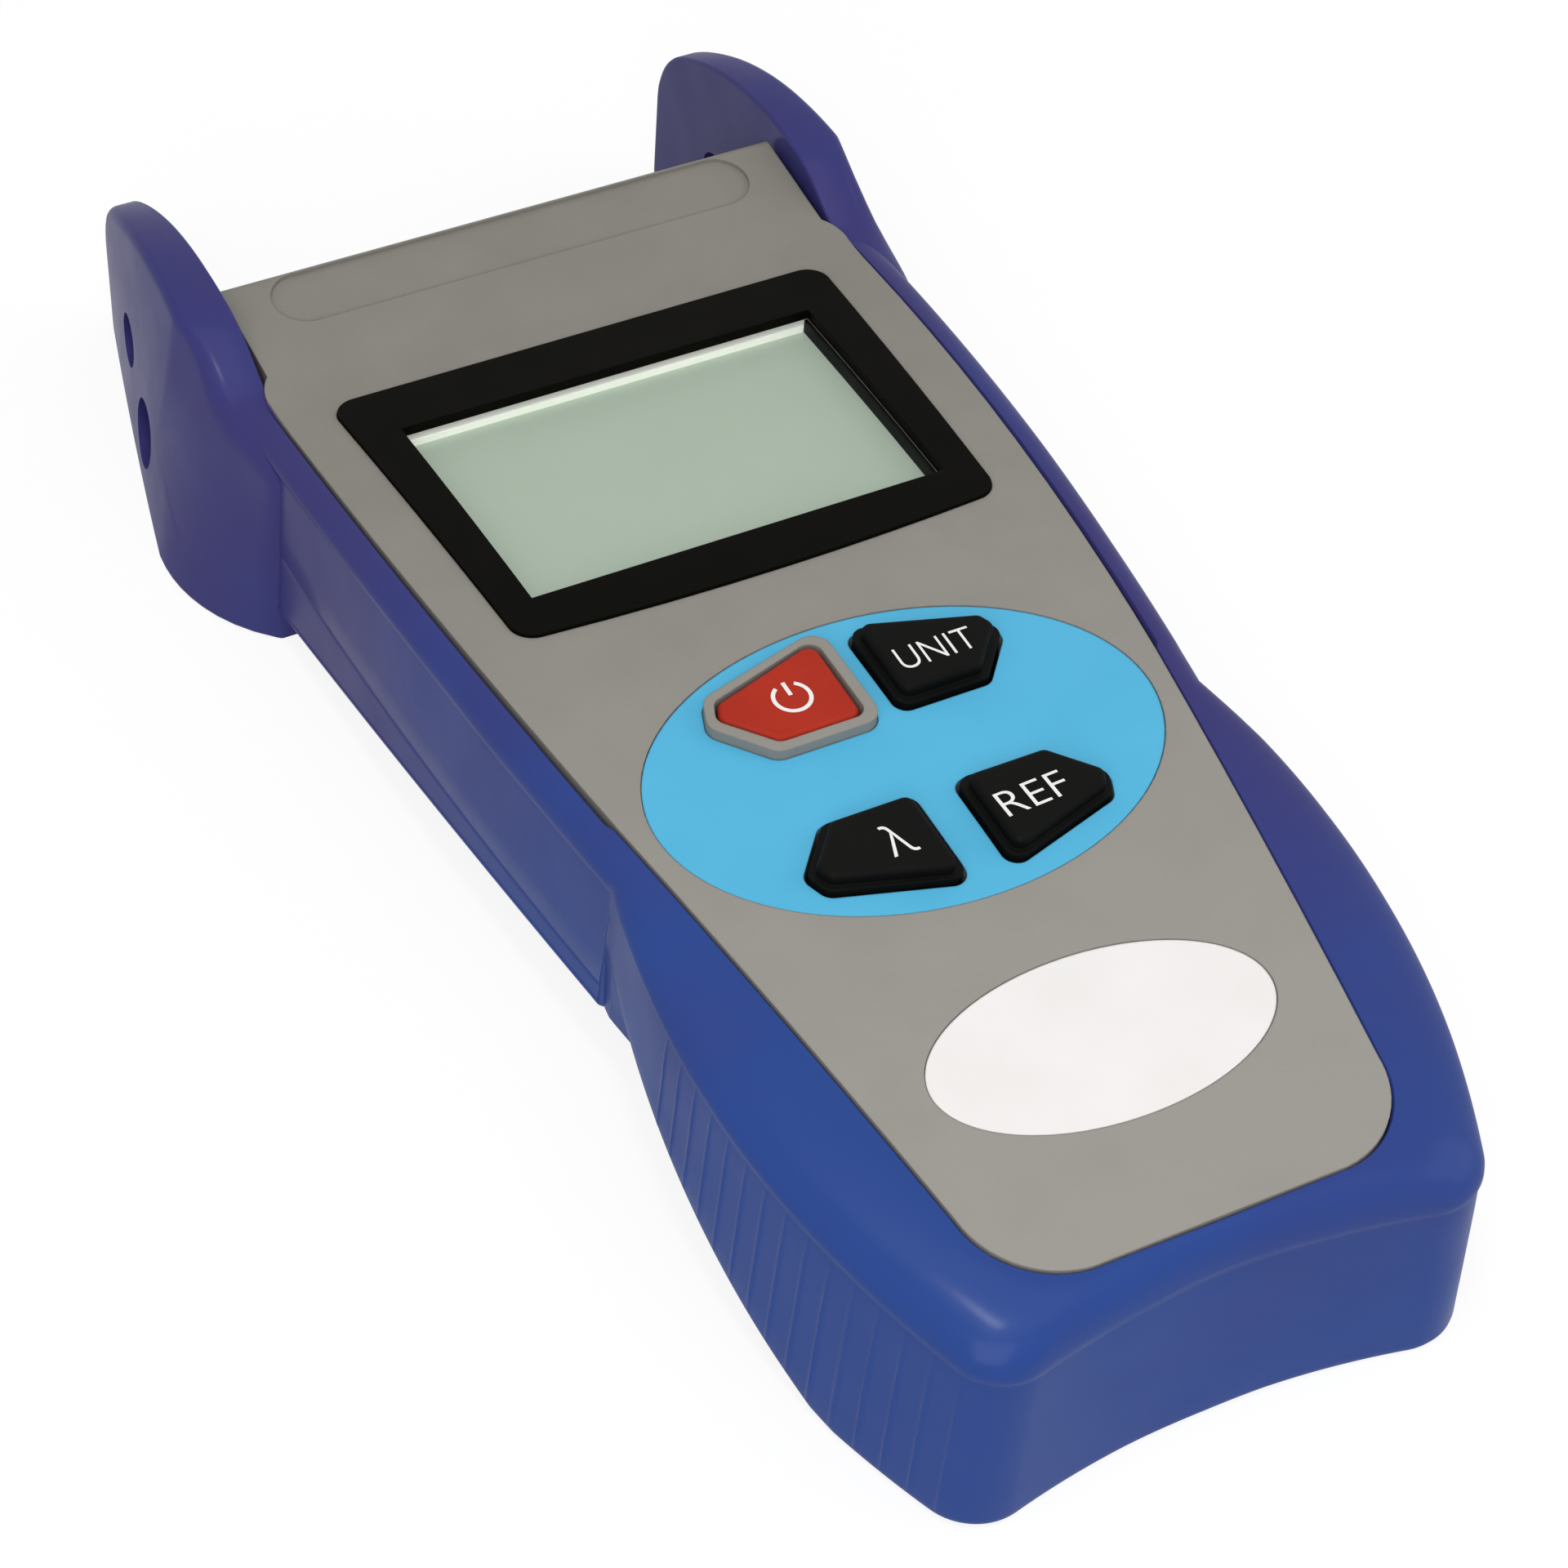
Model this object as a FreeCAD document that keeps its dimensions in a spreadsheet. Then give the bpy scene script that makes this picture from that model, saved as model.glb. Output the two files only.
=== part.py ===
"""Handheld optical power meter in its rubber holster.

The meter lies on its back: +Z is up through the display, +Y points at the optical port between the
two ears of the holster, and the origin is the middle of the footprint on the table.
All sizes are millimetres and live in the spreadsheet "Sizes".
"""
import FreeCAD
import Part

import math
import os
import re

import Sketcher

DOC = FreeCAD.newDocument("optical_power_meter")
SHEET = DOC.addObject("Spreadsheet::Sheet", "Sizes")

SIZES = {
    # crowned face of the housing, an arc along the length
    "crown_y": -31.0, "crown_z": 28.1, "face_radius": 603.0,
    # plan outline of the housing
    "tail_y": -86.0, "tail_half": 13.0, "tail_corner": 9.6,
    "taper_rise": 9.0, "taper_start_half": 21.9,
    "waist_y": -25.0, "waist_half": 29.2, "side_radius": 600.0,
    "shoulder_y": 47.0, "shoulder_half": 33.9, "shoulder_top_y": 51.0, "shoulder_radius": 5.0,
    "shoulder_step": 1.3, "neck_end_y": 65.0, "neck_valley_y": 46.0, "neck_end_z": 24.9,
    "neck_round": 1.4, "valley_run": 4.0, "valley_radius": 34.0,
    "shell_wall": 2.0, "face_wall": 2.8, "parting_z": 14.0, "back_z": 3.0, "back_round": 1.2,
    "part_gap": 0.1, "slip": 0.3,
    # holster
    "foot_depth": 5.4, "foot_notch_radius": 92.5, "foot_corner_half": 21.0, "foot_corner_radius": 4.8,
    "foot_turn_depth": 2.2, "foot_turn_half": 27.0, "foot_turn_radius": 40.0,
    "foot_side_rise": 6.2, "foot_side_half": 30.8, "flare_radius": 90.0, "kink_y": -29.5,
    "boot_wall": 3.6, "rim_drop": 0.2, "straight_round": 2.4, "flare_round": 3.2,
    "rib_first_y": -46.6, "rib_pitch": 3.0, "rib_width": 0.7, "rib_proud": 0.25, "rib_drop": 0.8,
    "arch_end_rise": 9.0, "arch_foot_rise": 15.0, "arch_foot_z": 1.7, "arch_foot_radius": 14.0,
    "flare_lift": 17.9, "wall_tail_y": -54.0, "wall_lift": 8.4, "wall_front_z": 1.7,
    "wall_arch_radius": 430.0,
    "floor_top": 2.7, "floor_rise": 14.0,
    # ears
    "ear_gap": 0.7, "ear_start_y": 37.0, "ear_front_y": 91.4, "ear_front_z": 12.0, "ear_round": 1.6,
    "ear_brow_y": 85.5, "ear_brow_z": 21.4, "ear_brow_radius": 9.0,
    "ear_crown_y": 60.5, "ear_crown_z": 27.3, "ear_crown_radius": 48.0,
    "ear_root_y": 52.5, "ear_root_z": 24.6, "ear_root_radius": 16.0, "ear_sweep_radius": 10.0,
    "ear_base_bulge": 10.5, "ear_base_y": 54.5, "ear_base_back_radius": 21.0,
    "ear_base_front_radius": 200.0, "ear_base_tip_bulge": 1.1,
    "ear_top_bulge": 5.3, "ear_top_y": 60.0, "ear_top_back_radius": 150.0,
    "ear_top_front_radius": 120.0, "ear_top_tip_bulge": 1.5,
    "eyelet_front_y": 76.5, "eyelet_front_z": 10.5, "eyelet_front_radius": 3.0,
    "eyelet_back_y": 66.5, "eyelet_back_z": 6.0, "eyelet_back_radius": 3.8,
    # display
    "bezel_top_y": 44.2, "bezel_top_half": 28.6, "bezel_bottom_y": 1.7, "bezel_bottom_half": 26.7,
    "bezel_bow_radius": 330.0, "bezel_proud": 0.35, "bezel_seat": 1.8, "bezel_corner": 2.5,
    "view_top_y": 37.1, "view_top_half": 23.6, "view_bottom_y": 6.7, "view_bottom_half": 23.1,
    "bezel_thickness": 0.85, "frame_wall": 2.2, "glass_drop": 4.0, "glass_thickness": 1.6,
    "glass_margin": 1.3,
    # keypad
    "pad_y": -27.6, "pad_half_x": 26.4, "pad_half_y": 19.0, "pad_recess": 0.5, "pad_thickness": 0.4,
    "key_inner": 2.3, "key_outer": 16.2, "key_cheek": 15.2, "key_toe": 11.9,
    "key_high": 16.8, "key_brow": 12.9, "key_side": 10.4, "key_low": 5.3, "key_corner": 1.4,
    "key_gap": 0.35, "key_proud": 1.8, "key_skirt": 0.7, "key_skirt_rise": 0.5, "key_edge": 0.6,
    "key_travel": 0.8, "key_flange": 0.8, "key_flange_thickness": 0.8,
    "power_shift": 1.1, "power_inset": 0.4, "power_proud": 0.9, "collar_width": 1.5, "collar_proud": 1.1,
    "switch_half": 2.6, "switch_height": 1.6, "stem_radius": 2.0,
    # label
    "label_y": -64.9, "label_half_x": 17.6, "label_half_y": 9.2, "label_recess": 0.4,
    "label_thickness": 0.3,
    # neck recess
    "plaque_y": 60.3, "plaque_half_x": 28.0, "plaque_half_y": 3.6, "plaque_depth": 0.5,
    # electronics
    "board_z": 16.2, "board_thickness": 1.6, "board_half": 26.8, "board_top_y": 46.0,
    "board_bottom_y": -4.0, "key_board_z": 20.0, "key_board_half": 21.0,
    "key_board_top_y": -9.0, "key_board_bottom_y": -47.0,
    "port_z": 10.5, "port_flange": 5.3, "port_flange_thickness": 1.6, "port_radius": 4.0,
    "port_reach": 6.0, "port_bore": 1.27, "port_tail": 5.0,
    "cap_radius": 5.6, "cap_reach": 7.4, "diode_radius": 2.7, "diode_length": 4.5,
    "socket_x": 17.5, "socket_z": 9.9, "socket_width": 9.0, "socket_height": 7.6,
    "socket_depth": 11.0, "socket_bore": 3.0, "socket_bore_depth": 8.5, "socket_pin": 1.0,
    # battery bay
    "cell_radius": 7.0, "cell_length": 49.2, "cell_pitch": 14.3, "cell_y": -33.0, "cell_nub": 2.7,
    "cell_nub_length": 1.0, "cell_lift": 0.5, "contact_thickness": 0.4, "contact_half": 5.0,
    "spring_length": 2.6, "leaf_reach": 3.5, "leaf_half": 2.0, "leaf_thickness": 0.35,
    "bay_wall": 1.2, "bay_wall_drop": 0.5,
    "door_half": 21.0, "door_tail_y": -66.0, "door_head_y": -4.0, "door_thickness": 1.8,
    "door_gap": 0.3, "door_corner": 2.0, "door_grip_y": -12.0, "door_grip_radius": 30.0,
    "door_grip_depth": 0.8, "door_grip_half": 8.0, "tab_x": 12.0, "tab_half": 3.0,
    "tab_reach": 2.5, "tab_thickness": 1.2,
    # fasteners
    "screw_radius": 1.25, "screw_head": 2.4, "screw_head_height": 1.8, "screw_length": 13.0,
    "boss_radius": 3.2, "small_screw_radius": 0.9, "small_head_radius": 1.7, "small_head_height": 1.0,
    "small_screw_length": 4.0, "post_radius": 2.2, "board_screw_x": 22.0, "board_screw_top_y": 43.0,
    "board_screw_bottom_y": 0.0, "screw_front_inset": 6.1, "screw_front_y": 55.0, "screw_back_x": 15.0,
    "screw_back_rise": 10.0,
}


def fill_sheet():
    for row, (alias, value) in enumerate(SIZES.items(), start=1):
        SHEET.set("A%d" % row, alias)
        SHEET.set("B%d" % row, str(value))
        SHEET.setAlias("B%d" % row, alias)
    DOC.recompute()


def named(text):
    """The same expression with each size written as a cell of the sheet."""
    words = re.sub(r"[a-z][a-z_]+", lambda w: "Sizes." + w.group() if w.group() in SIZES else w.group(), text)
    return words


def value(text):
    return float(SHEET.evalExpression(named(text)))


def bind(thing, slot, text):
    thing.setExpression(slot, named(text))


def crown(y_text):
    """Height of the crowned face at a place along the length."""
    return "(crown_z - face_radius + sqrt(face_radius ^ 2 - ((%s) - crown_y) ^ 2))" % y_text


# ---------------------------------------------------------------- shapes bound to the sheet
AXES = {
    "z": FreeCAD.Rotation(),
    "y": FreeCAD.Rotation(FreeCAD.Vector(1, 0, 0), -90),
    "-y": FreeCAD.Rotation(FreeCAD.Vector(1, 0, 0), 90),
    "x": FreeCAD.Rotation(FreeCAD.Vector(0, 1, 0), 90),
}
PLANES = {
    "plan": FreeCAD.Rotation(),
    "side": FreeCAD.Rotation(FreeCAD.Vector(1, 1, 1), 120),
}


def place(thing, at, rotation=None):
    thing.Placement = FreeCAD.Placement(FreeCAD.Vector(), rotation or FreeCAD.Rotation())
    for axis, text in zip("xyz", at):
        bind(thing, "Placement.Base." + axis, text)


def box(label, x, y, z):
    """A block between two limits on each axis."""
    block = DOC.addObject("Part::Box", label)
    for side, (low, high) in zip(("Length", "Width", "Height"), (x, y, z)):
        bind(block, side, "(%s) - (%s)" % (high, low))
    place(block, (x[0], y[0], z[0]))
    return block


def rod(label, radius, length, at, axis="z"):
    cylinder = DOC.addObject("Part::Cylinder", label)
    bind(cylinder, "Radius", radius)
    bind(cylinder, "Height", length)
    place(cylinder, at, AXES[axis])
    return cylinder


def fuse(label, *pieces):
    joined = DOC.addObject("Part::MultiFuse", label)
    joined.Shapes = list(pieces)
    joined.Refine = True
    return joined


def cut(label, base, *tools):
    tool = tools[0] if len(tools) == 1 else fuse(label + "_tools", *tools)
    remains = DOC.addObject("Part::Cut", label)
    remains.Base, remains.Tool = base, tool
    remains.Refine = True
    return remains


def common(label, first, second):
    shared = DOC.addObject("Part::Common", label)
    shared.Base, shared.Tool = first, second
    return shared


def compound(label, pieces):
    group = DOC.addObject("Part::Compound", label)
    group.Links = list(pieces)
    return group


def arc_edge(start, end, radius, turn):
    """The short arc from start to end; its centre lies to the left or right of the way there."""
    chord = end - start
    rise = math.sqrt(max(radius ** 2 - chord.Length ** 2 / 4, 0.0))
    left = FreeCAD.Vector(-chord.y, chord.x, 0).normalize()
    centre = (start + end) * 0.5 + left * (rise if turn == "left" else -rise)
    first, last = (start, end) if turn == "left" else (end, start)
    angles = [math.atan2(p.y - centre.y, p.x - centre.x) for p in (first, last)]
    if angles[1] < angles[0]:
        angles[1] += 2 * math.pi
    return Part.ArcOfCircle(Part.Circle(centre, FreeCAD.Vector(0, 0, 1), radius), *angles)


def outline(label, points, plane="plan", height="0", body=None):
    """A closed sketch. Each point is (x, y, way): way is None for a straight run to the next point,
    or (radius, "left" or "right") for an arc. Every point and radius is bound to the sheet."""
    if body:
        sketch = body.newObject("Sketcher::SketchObject", label)
        base = [f for f in body.Origin.OriginFeatures if f.Role == "XY_Plane"][0]
        sketch.AttachmentSupport = [(base, "")]
        sketch.MapMode = "FlatFace"
        bind(sketch, "AttachmentOffset.Base.z", height)
    else:
        sketch = DOC.addObject("Sketcher::SketchObject", label)
        at = ("0", "0", height) if plane == "plan" else (height, "0", "0")
        place(sketch, at, PLANES[plane])
    corners = [FreeCAD.Vector(value(x), value(y), 0) for x, y, _ in points]
    ends = []
    for i, (_, _, way) in enumerate(points):
        start, end = corners[i], corners[(i + 1) % len(points)]
        if way is None:
            sketch.addGeometry(Part.LineSegment(start, end))
            ends.append((1, 2))
        else:
            sketch.addGeometry(arc_edge(start, end, value(way[0]), way[1]))
            ends.append((1, 2) if way[1] == "left" else (2, 1))
    for i, (x, y, way) in enumerate(points):
        following = (i + 1) % len(points)
        sketch.addConstraint(Sketcher.Constraint("Coincident", i, ends[i][1], following, ends[following][0]))
        for kind, text in (("DistanceX", x), ("DistanceY", y)):
            number = sketch.addConstraint(Sketcher.Constraint(kind, i, ends[i][0], value(text)))
            bind(sketch, "Constraints[%d]" % number, text)
        if way:
            number = sketch.addConstraint(Sketcher.Constraint("Radius", i, value(way[0])))
            bind(sketch, "Constraints[%d]" % number, way[0])
    return sketch


def mirrored(right, closing=None):
    """A full outline from its right-hand points, listed tail to head; closing joins the two tails."""
    left = []
    for i in reversed(range(len(right))):
        left.append(("-(%s)" % right[i][0], right[i][1], right[i - 1][2] if i else closing))
    return right + left


def extrude(label, sketch, length, both_ways=False):
    solid = DOC.addObject("Part::Extrusion", label)
    solid.Base = sketch
    solid.DirMode = "Normal"
    solid.Solid = True
    solid.Symmetric = both_ways
    bind(solid, "LengthFwd", length)
    return solid


def oval(label, half_x, half_y, centre_y, grow="0"):
    """A tall elliptical column standing on the table."""
    ring = DOC.addObject("Part::Ellipse", label + "_ring")
    bind(ring, "MajorRadius", "(%s) + (%s)" % (half_x, grow))
    bind(ring, "MinorRadius", "(%s) + (%s)" % (half_y, grow))
    place(ring, ("0", centre_y, "0"))
    return extrude(label, ring, COLUMN)


COLUMN = "crown_z + 20"
NECK_HALF = "(shoulder_half - shoulder_step)"
SPAN = "2 * (shoulder_half + 20)"


def crown_band(label, top, bottom):
    """The layer of the face between two offsets from its surface, across the whole width."""
    tail, head = "tail_y - 5", "neck_valley_y + 8"
    points = [
        (tail, crown(tail) + " + (%s)" % bottom, ("face_radius", "right")),
        (head, crown(head) + " + (%s)" % bottom, None),
        (head, crown(head) + " + (%s)" % top, ("face_radius", "left")),
        (tail, crown(tail) + " + (%s)" % top, None),
    ]
    profile = outline(label + "_profile", points, "side")
    return extrude(label, profile, SPAN, True)


def inlay(label, column, top, bottom):
    """The part of an upright column that lies in one layer of the crowned face."""
    return common(label, column, crown_band(label + "_layer", top, bottom))


# ---------------------------------------------------------------- housing
def housing_points(grow="0"):
    edge = " + (%s)" % grow
    return mirrored([
        ("tail_half", "tail_y - (%s)" % grow, ("tail_corner" + edge, "left")),
        ("taper_start_half" + edge, "tail_y + taper_rise", None),
        ("waist_half" + edge, "waist_y", ("side_radius" + edge, "left")),
        ("shoulder_half" + edge, "shoulder_y", ("shoulder_radius" + edge, "left")),
        (NECK_HALF + edge, "shoulder_top_y" + edge, None),
        (NECK_HALF + edge, "neck_end_y" + edge, None),
    ])


def housing_plan(label, height, grow="0"):
    return outline(label, housing_points(grow), "plan", height)


NECK_RISE = "((neck_end_z - %s) / (neck_end_y - neck_valley_y))" % crown("neck_valley_y")


def below_face(label, drop):
    """Everything under the face, lowered by drop: the crown, a soft valley, the neck and its rounded end."""
    tail, head = "tail_y - 5", "neck_end_y + 5"
    lower = " - (%s)" % drop
    points = [
        (tail, "0", None),
        (head, "0", None),
        (head, "neck_end_z - neck_round" + lower, None),
        ("neck_end_y", "neck_end_z - neck_round" + lower, ("neck_round", "left")),
        ("neck_end_y - neck_round", "neck_end_z" + lower, None),
        ("neck_valley_y + valley_run", crown("neck_valley_y") + " + valley_run * " + NECK_RISE + lower,
         ("valley_radius", "right")),
        ("neck_valley_y - valley_run", crown("neck_valley_y - valley_run") + lower, ("face_radius", "left")),
        (tail, crown(tail) + lower, None),
    ]
    return extrude(label, outline(label + "_profile", points, "side"), SPAN, True)


def trapezoid(top_half, top_y, bottom_half, bottom_y, grow="0", bow=None):
    """Corners of a display outline, wider at its top, with an optional bow in its bottom edge."""
    edge = " + (%s)" % grow
    return mirrored([
        (bottom_half + edge, "%s - (%s)" % (bottom_y, grow), None),
        (top_half + edge, top_y + edge, None),
    ], bow)


def bezel_column(label, grow="0"):
    points = trapezoid("bezel_top_half", "bezel_top_y", "bezel_bottom_half", "bezel_bottom_y", grow,
                       ("bezel_bow_radius", "left"))
    return rounded_column(label, points, "bezel_corner + (%s)" % grow)


def view_column(label, grow="0"):
    points = trapezoid("view_top_half", "view_top_y", "view_bottom_half", "view_bottom_y", grow)
    return extrude(label, outline(label + "_outline", points), COLUMN)


def chosen_edges(feature, test):
    return ["Edge%d" % n for n, edge in enumerate(feature.Shape.Edges, start=1) if test(edge)]


def upright(edge):
    return edge.Curve.TypeId == "Part::GeomLine" and abs(edge.tangentAt(edge.FirstParameter).z) > 0.999


def level_at(height):
    """A test for edges lying flat at one height."""
    return lambda edge: all(abs(v.Z - height) < 1e-4 for v in edge.Vertexes)


def dressed(body, kind, test, slot, text):
    """Rounds or chamfers the chosen edges of a body's newest feature."""
    base = body.Tip
    DOC.recompute()
    dress = body.newObject("PartDesign::" + kind, "%s_%s" % (body.Label, kind.lower()))
    dress.Base = (base, chosen_edges(base, test))
    bind(dress, slot, text)
    body.Tip = dress
    DOC.recompute()
    return body


def softened(label, shape, test, text):
    """A finished shape with chosen edges rounded."""
    body = DOC.addObject("PartDesign::Body", label)
    body.BaseFeature = shape
    DOC.recompute()
    return dressed(body, "Fillet", test, "Radius", text)


def padded(label, points, low, high):
    body = DOC.addObject("PartDesign::Body", label)
    pad = body.newObject("PartDesign::Pad", label + "_pad")
    pad.Profile = outline(label + "_outline", points, "plan", low, body)
    bind(pad, "Length", "(%s) - (%s)" % (high, low))
    body.Tip = pad
    DOC.recompute()
    return body


def rounded_column(label, points, corner, low="0", high=None):
    """A body padded from an outline, with its upright corners rounded."""
    return dressed(padded(label, points, low, high or COLUMN), "Fillet", upright, "Radius", corner)


KEYS = {"power_key": (-1, 1), "unit_key": (1, 1), "wavelength_key": (-1, -1), "reference_key": (1, -1)}


def key_points(side, end, grow="0", shift="0"):
    """Five corners of a key; side and end say which quarter of the keypad it fills."""
    corners = [
        ("key_inner - (%s)" % grow, "key_low - (%s)" % grow),
        ("key_toe + 0.6 * (%s)" % grow, "key_low - (%s)" % grow),
        ("key_outer + (%s)" % grow, "key_side - 0.4 * (%s)" % grow),
        ("key_cheek + 0.7 * (%s)" % grow, "key_brow + 0.7 * (%s)" % grow),
        ("key_inner - (%s)" % grow, "key_high + (%s)" % grow),
    ]
    return [("%d * (%s) + (%s)" % (side, x, shift), "pad_y + %d * (%s)" % (end, y), None) for x, y in corners]


def key_column(label, key, grow="0", low="0", high=None):
    side, end = KEYS[key]
    shift = "power_shift" if key == "power_key" else "0"
    return rounded_column(label, key_points(side, end, grow, shift), "key_corner + 0.5 * (%s)" % grow, low, high)


def key_centre(key):
    side, end = KEYS[key]
    return "%d * (key_inner + key_outer) / 2" % side, "pad_y + %d * (key_low + key_high) / 2" % end


def key_grow(key):
    """How far the visible cap is grown from the plain key outline."""
    return "-power_inset" if key == "power_key" else "0"


def screw_places():
    for side in (-1, 1):
        yield "%d * (%s - screw_front_inset)" % (side, NECK_HALF), "screw_front_y"
        yield "%d * screw_back_x" % side, "tail_y + screw_back_rise"


def plaque_column(label):
    """The long rounded recess across the neck."""
    middle = box(label + "_middle", ("-(plaque_half_x - plaque_half_y)", "plaque_half_x - plaque_half_y"),
                 ("plaque_y - plaque_half_y", "plaque_y + plaque_half_y"), ("0", COLUMN))
    ends = [rod(label + "_end_%d" % i, "plaque_half_y", COLUMN, ("%d * (plaque_half_x - plaque_half_y)" % side,
            "plaque_y", "0")) for i, side in enumerate((-1, 1))]
    return fuse(label, middle, *ends)


def front_shell():
    outer = common("front_outer", extrude("front_block", housing_plan("front_plan", "parting_z + part_gap / 2"),
                                          COLUMN), below_face("front_under", "0"))
    hollow = common("front_hollow", extrude("front_core", housing_plan("front_core_plan", "parting_z - 1",
                                            "-shell_wall"), COLUMN), below_face("front_core_under", "face_wall"))
    skin = cut("front_skin", outer, hollow)
    collar = inlay("power_collar", key_column("power_collar_column", "power_key", COLLAR_GROW),
                   "collar_proud", "-face_wall / 2")
    rods = [rod("front_boss_%d" % i, "boss_radius", COLUMN, (x, y, "parting_z + part_gap / 2"))
            for i, (x, y) in enumerate(screw_places())]
    rods += [rod("key_board_boss_%d" % i, "post_radius", COLUMN, (x, y, "key_board_z + board_thickness"))
             for i, (x, y) in enumerate(key_board_screws())]
    bosses = common("front_bosses", fuse("front_boss_rods", *rods), below_face("front_boss_under", "face_wall / 2"))
    body = fuse("front_body", skin, collar, bosses)
    tools = [
        inlay("bezel_recess", bezel_column("bezel_recess_column", "part_gap"), "5", "-bezel_seat"),
        view_column("frame_opening", "frame_wall + part_gap"),
        inlay("pad_recess_cut", cut("pad_recess_ring", pad_oval("pad_recess_oval", "part_gap"),
              key_column("collar_keep", "power_key", COLLAR_GROW)), "5", "-pad_recess"),
        inlay("label_recess_cut", label_oval("label_recess_oval", "part_gap"), "5", "-label_recess"),
        cut("plaque_cut", plaque_column("plaque"), below_face("plaque_floor", "plaque_depth")),
        rod("port_notch", "port_radius + part_gap", "shell_wall + 2",
            ("0", "neck_end_y - shell_wall - 1", "port_z"), "y"),
    ]
    tools += [key_column(key + "_hole", key, key_grow(key) + " + key_gap") for key in KEYS]
    tools += [rod("front_pilot_%d" % i, "screw_radius", "screw_length", (x, y, SCREW_HEAD_TOP))
              for i, (x, y) in enumerate(screw_places())]
    tools += [rod("key_board_pilot_%d" % i, "small_screw_radius", "small_screw_length", (x, y, "key_board_z"))
              for i, (x, y) in enumerate(key_board_screws())]
    return cut("front_shell", body, *tools)


COLLAR_GROW = "collar_width - power_inset"
SCREW_HEAD_TOP = "back_z + screw_head_height"
BOARD_TOP = "board_z + board_thickness"
CELL_Z = "(back_z + door_thickness + cell_lift + cell_radius)"
BAY_TAIL_Y = "(cell_y - cell_length / 2 - spring_length - contact_thickness)"
BAY_HEAD_Y = "(cell_y + cell_length / 2 + cell_nub_length + contact_thickness)"


def pad_oval(label, grow="0"):
    return oval(label, "pad_half_x", "pad_half_y", "pad_y", grow)


def label_oval(label, grow="0"):
    return oval(label, "label_half_x", "label_half_y", "label_y", grow)


def key_board_screws():
    for side in (-1, 1):
        yield "%d * cell_pitch / 2" % side, "pad_y"


def board_screws():
    for side in (-1, 1):
        yield "%d * board_screw_x" % side, "board_screw_top_y"
        yield "%d * board_screw_x" % side, "board_screw_bottom_y"


def door_points(grow="0"):
    edge = " + (%s)" % grow
    return mirrored([("door_half" + edge, "door_tail_y - (%s)" % grow, None),
                     ("door_half" + edge, "door_head_y" + edge, None)])


def rear_shell():
    block = padded("rear_block", housing_points(), "back_z", "parting_z - part_gap / 2")
    block = dressed(block, "Fillet", level_at(value("back_z")), "Radius", "back_round")
    core = extrude("rear_core", housing_plan("rear_core_plan", "back_z + shell_wall", "-shell_wall"), COLUMN)
    skin = cut("rear_skin", block, core)
    under = extrude("rear_core_slice", housing_plan("rear_slice_plan", "back_z + shell_wall + 0.1",
                                            "-shell_wall + 0.1"), "parting_z - bay_wall_drop - back_z - shell_wall")
    bars = fuse("bay_bars",
                box("bay_tail_bar", SIDE_TO_SIDE, (BAY_TAIL_Y + " - bay_wall", BAY_TAIL_Y),
                    ("0", COLUMN)),
                box("bay_head_bar", SIDE_TO_SIDE, (BAY_HEAD_Y, BAY_HEAD_Y + " + bay_wall"),
                    ("0", COLUMN)))
    walls = common("bay_walls", bars, under)
    bosses = [rod("rear_boss_%d" % i, "boss_radius", "parting_z - part_gap / 2 - back_z - 0.5", (x, y, "back_z + 0.5"))
              for i, (x, y) in enumerate(screw_places())]
    posts = [rod("board_post_%d" % i, "post_radius", "board_z - back_z - 0.5", (x, y, "back_z + 0.5"))
             for i, (x, y) in enumerate(board_screws())]
    body = fuse("rear_body", skin, walls, *(bosses + posts))
    tools = [
        rounded_column("door_opening", door_points("door_gap"), "door_corner", "back_z - 1", "back_z + shell_wall + 0.1"),
        rod("port_hole", "port_radius + part_gap", "shell_wall + 2",
            ("0", "neck_end_y - shell_wall - 1", "port_z"), "y"),
        box("socket_hole", ("socket_x - socket_width / 2 - part_gap", "socket_x + socket_width / 2 + part_gap"),
            ("neck_end_y - shell_wall - 1", "neck_end_y + 1"),
            ("socket_z - socket_height / 2 - part_gap", "socket_z + socket_height / 2 + part_gap")),
    ]
    for i, (x, y) in enumerate(screw_places()):
        tools.append(rod("rear_counterbore_%d" % i, "screw_head + part_gap", "screw_head_height + 1",
                         (x, y, "back_z - 1")))
        tools.append(rod("rear_bore_%d" % i, "screw_radius + part_gap", COLUMN, (x, y, "back_z")))
    tools += [rod("board_pilot_%d" % i, "small_screw_radius", "small_screw_length",
                  (x, y, BOARD_TOP + " - small_screw_length")) for i, (x, y) in enumerate(board_screws())]
    return cut("rear_shell", body, *tools)


# ---------------------------------------------------------------- holster
FOOT_Y = "(tail_y - foot_depth)"
EAR_INNER_HALF = "(" + NECK_HALF + " + ear_gap)"


def wall_half(y_text):
    """Half width of the holster's plain wall at a place along the housing's bowed side."""
    return "(shoulder_half + boot_wall - (shoulder_y - (%s)) ^ 2 / (2 * side_radius))" % y_text


def flare_plan(label, grow="0"):
    """Plan of the holster behind its kink: two flared sides round a notched foot."""
    edge = " + (%s)" % grow
    right = [
        ("foot_corner_half", FOOT_Y + " - (%s)" % grow, ("foot_corner_radius" + edge, "left")),
        ("foot_turn_half" + edge, "tail_y - foot_turn_depth", ("foot_turn_radius" + edge, "left")),
        ("foot_side_half" + edge, "tail_y + foot_side_rise", ("flare_radius" + edge, "left")),
        (wall_half("kink_y") + edge, "kink_y", None),
    ]
    return outline(label, mirrored(right, ("foot_notch_radius", "right")))


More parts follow.
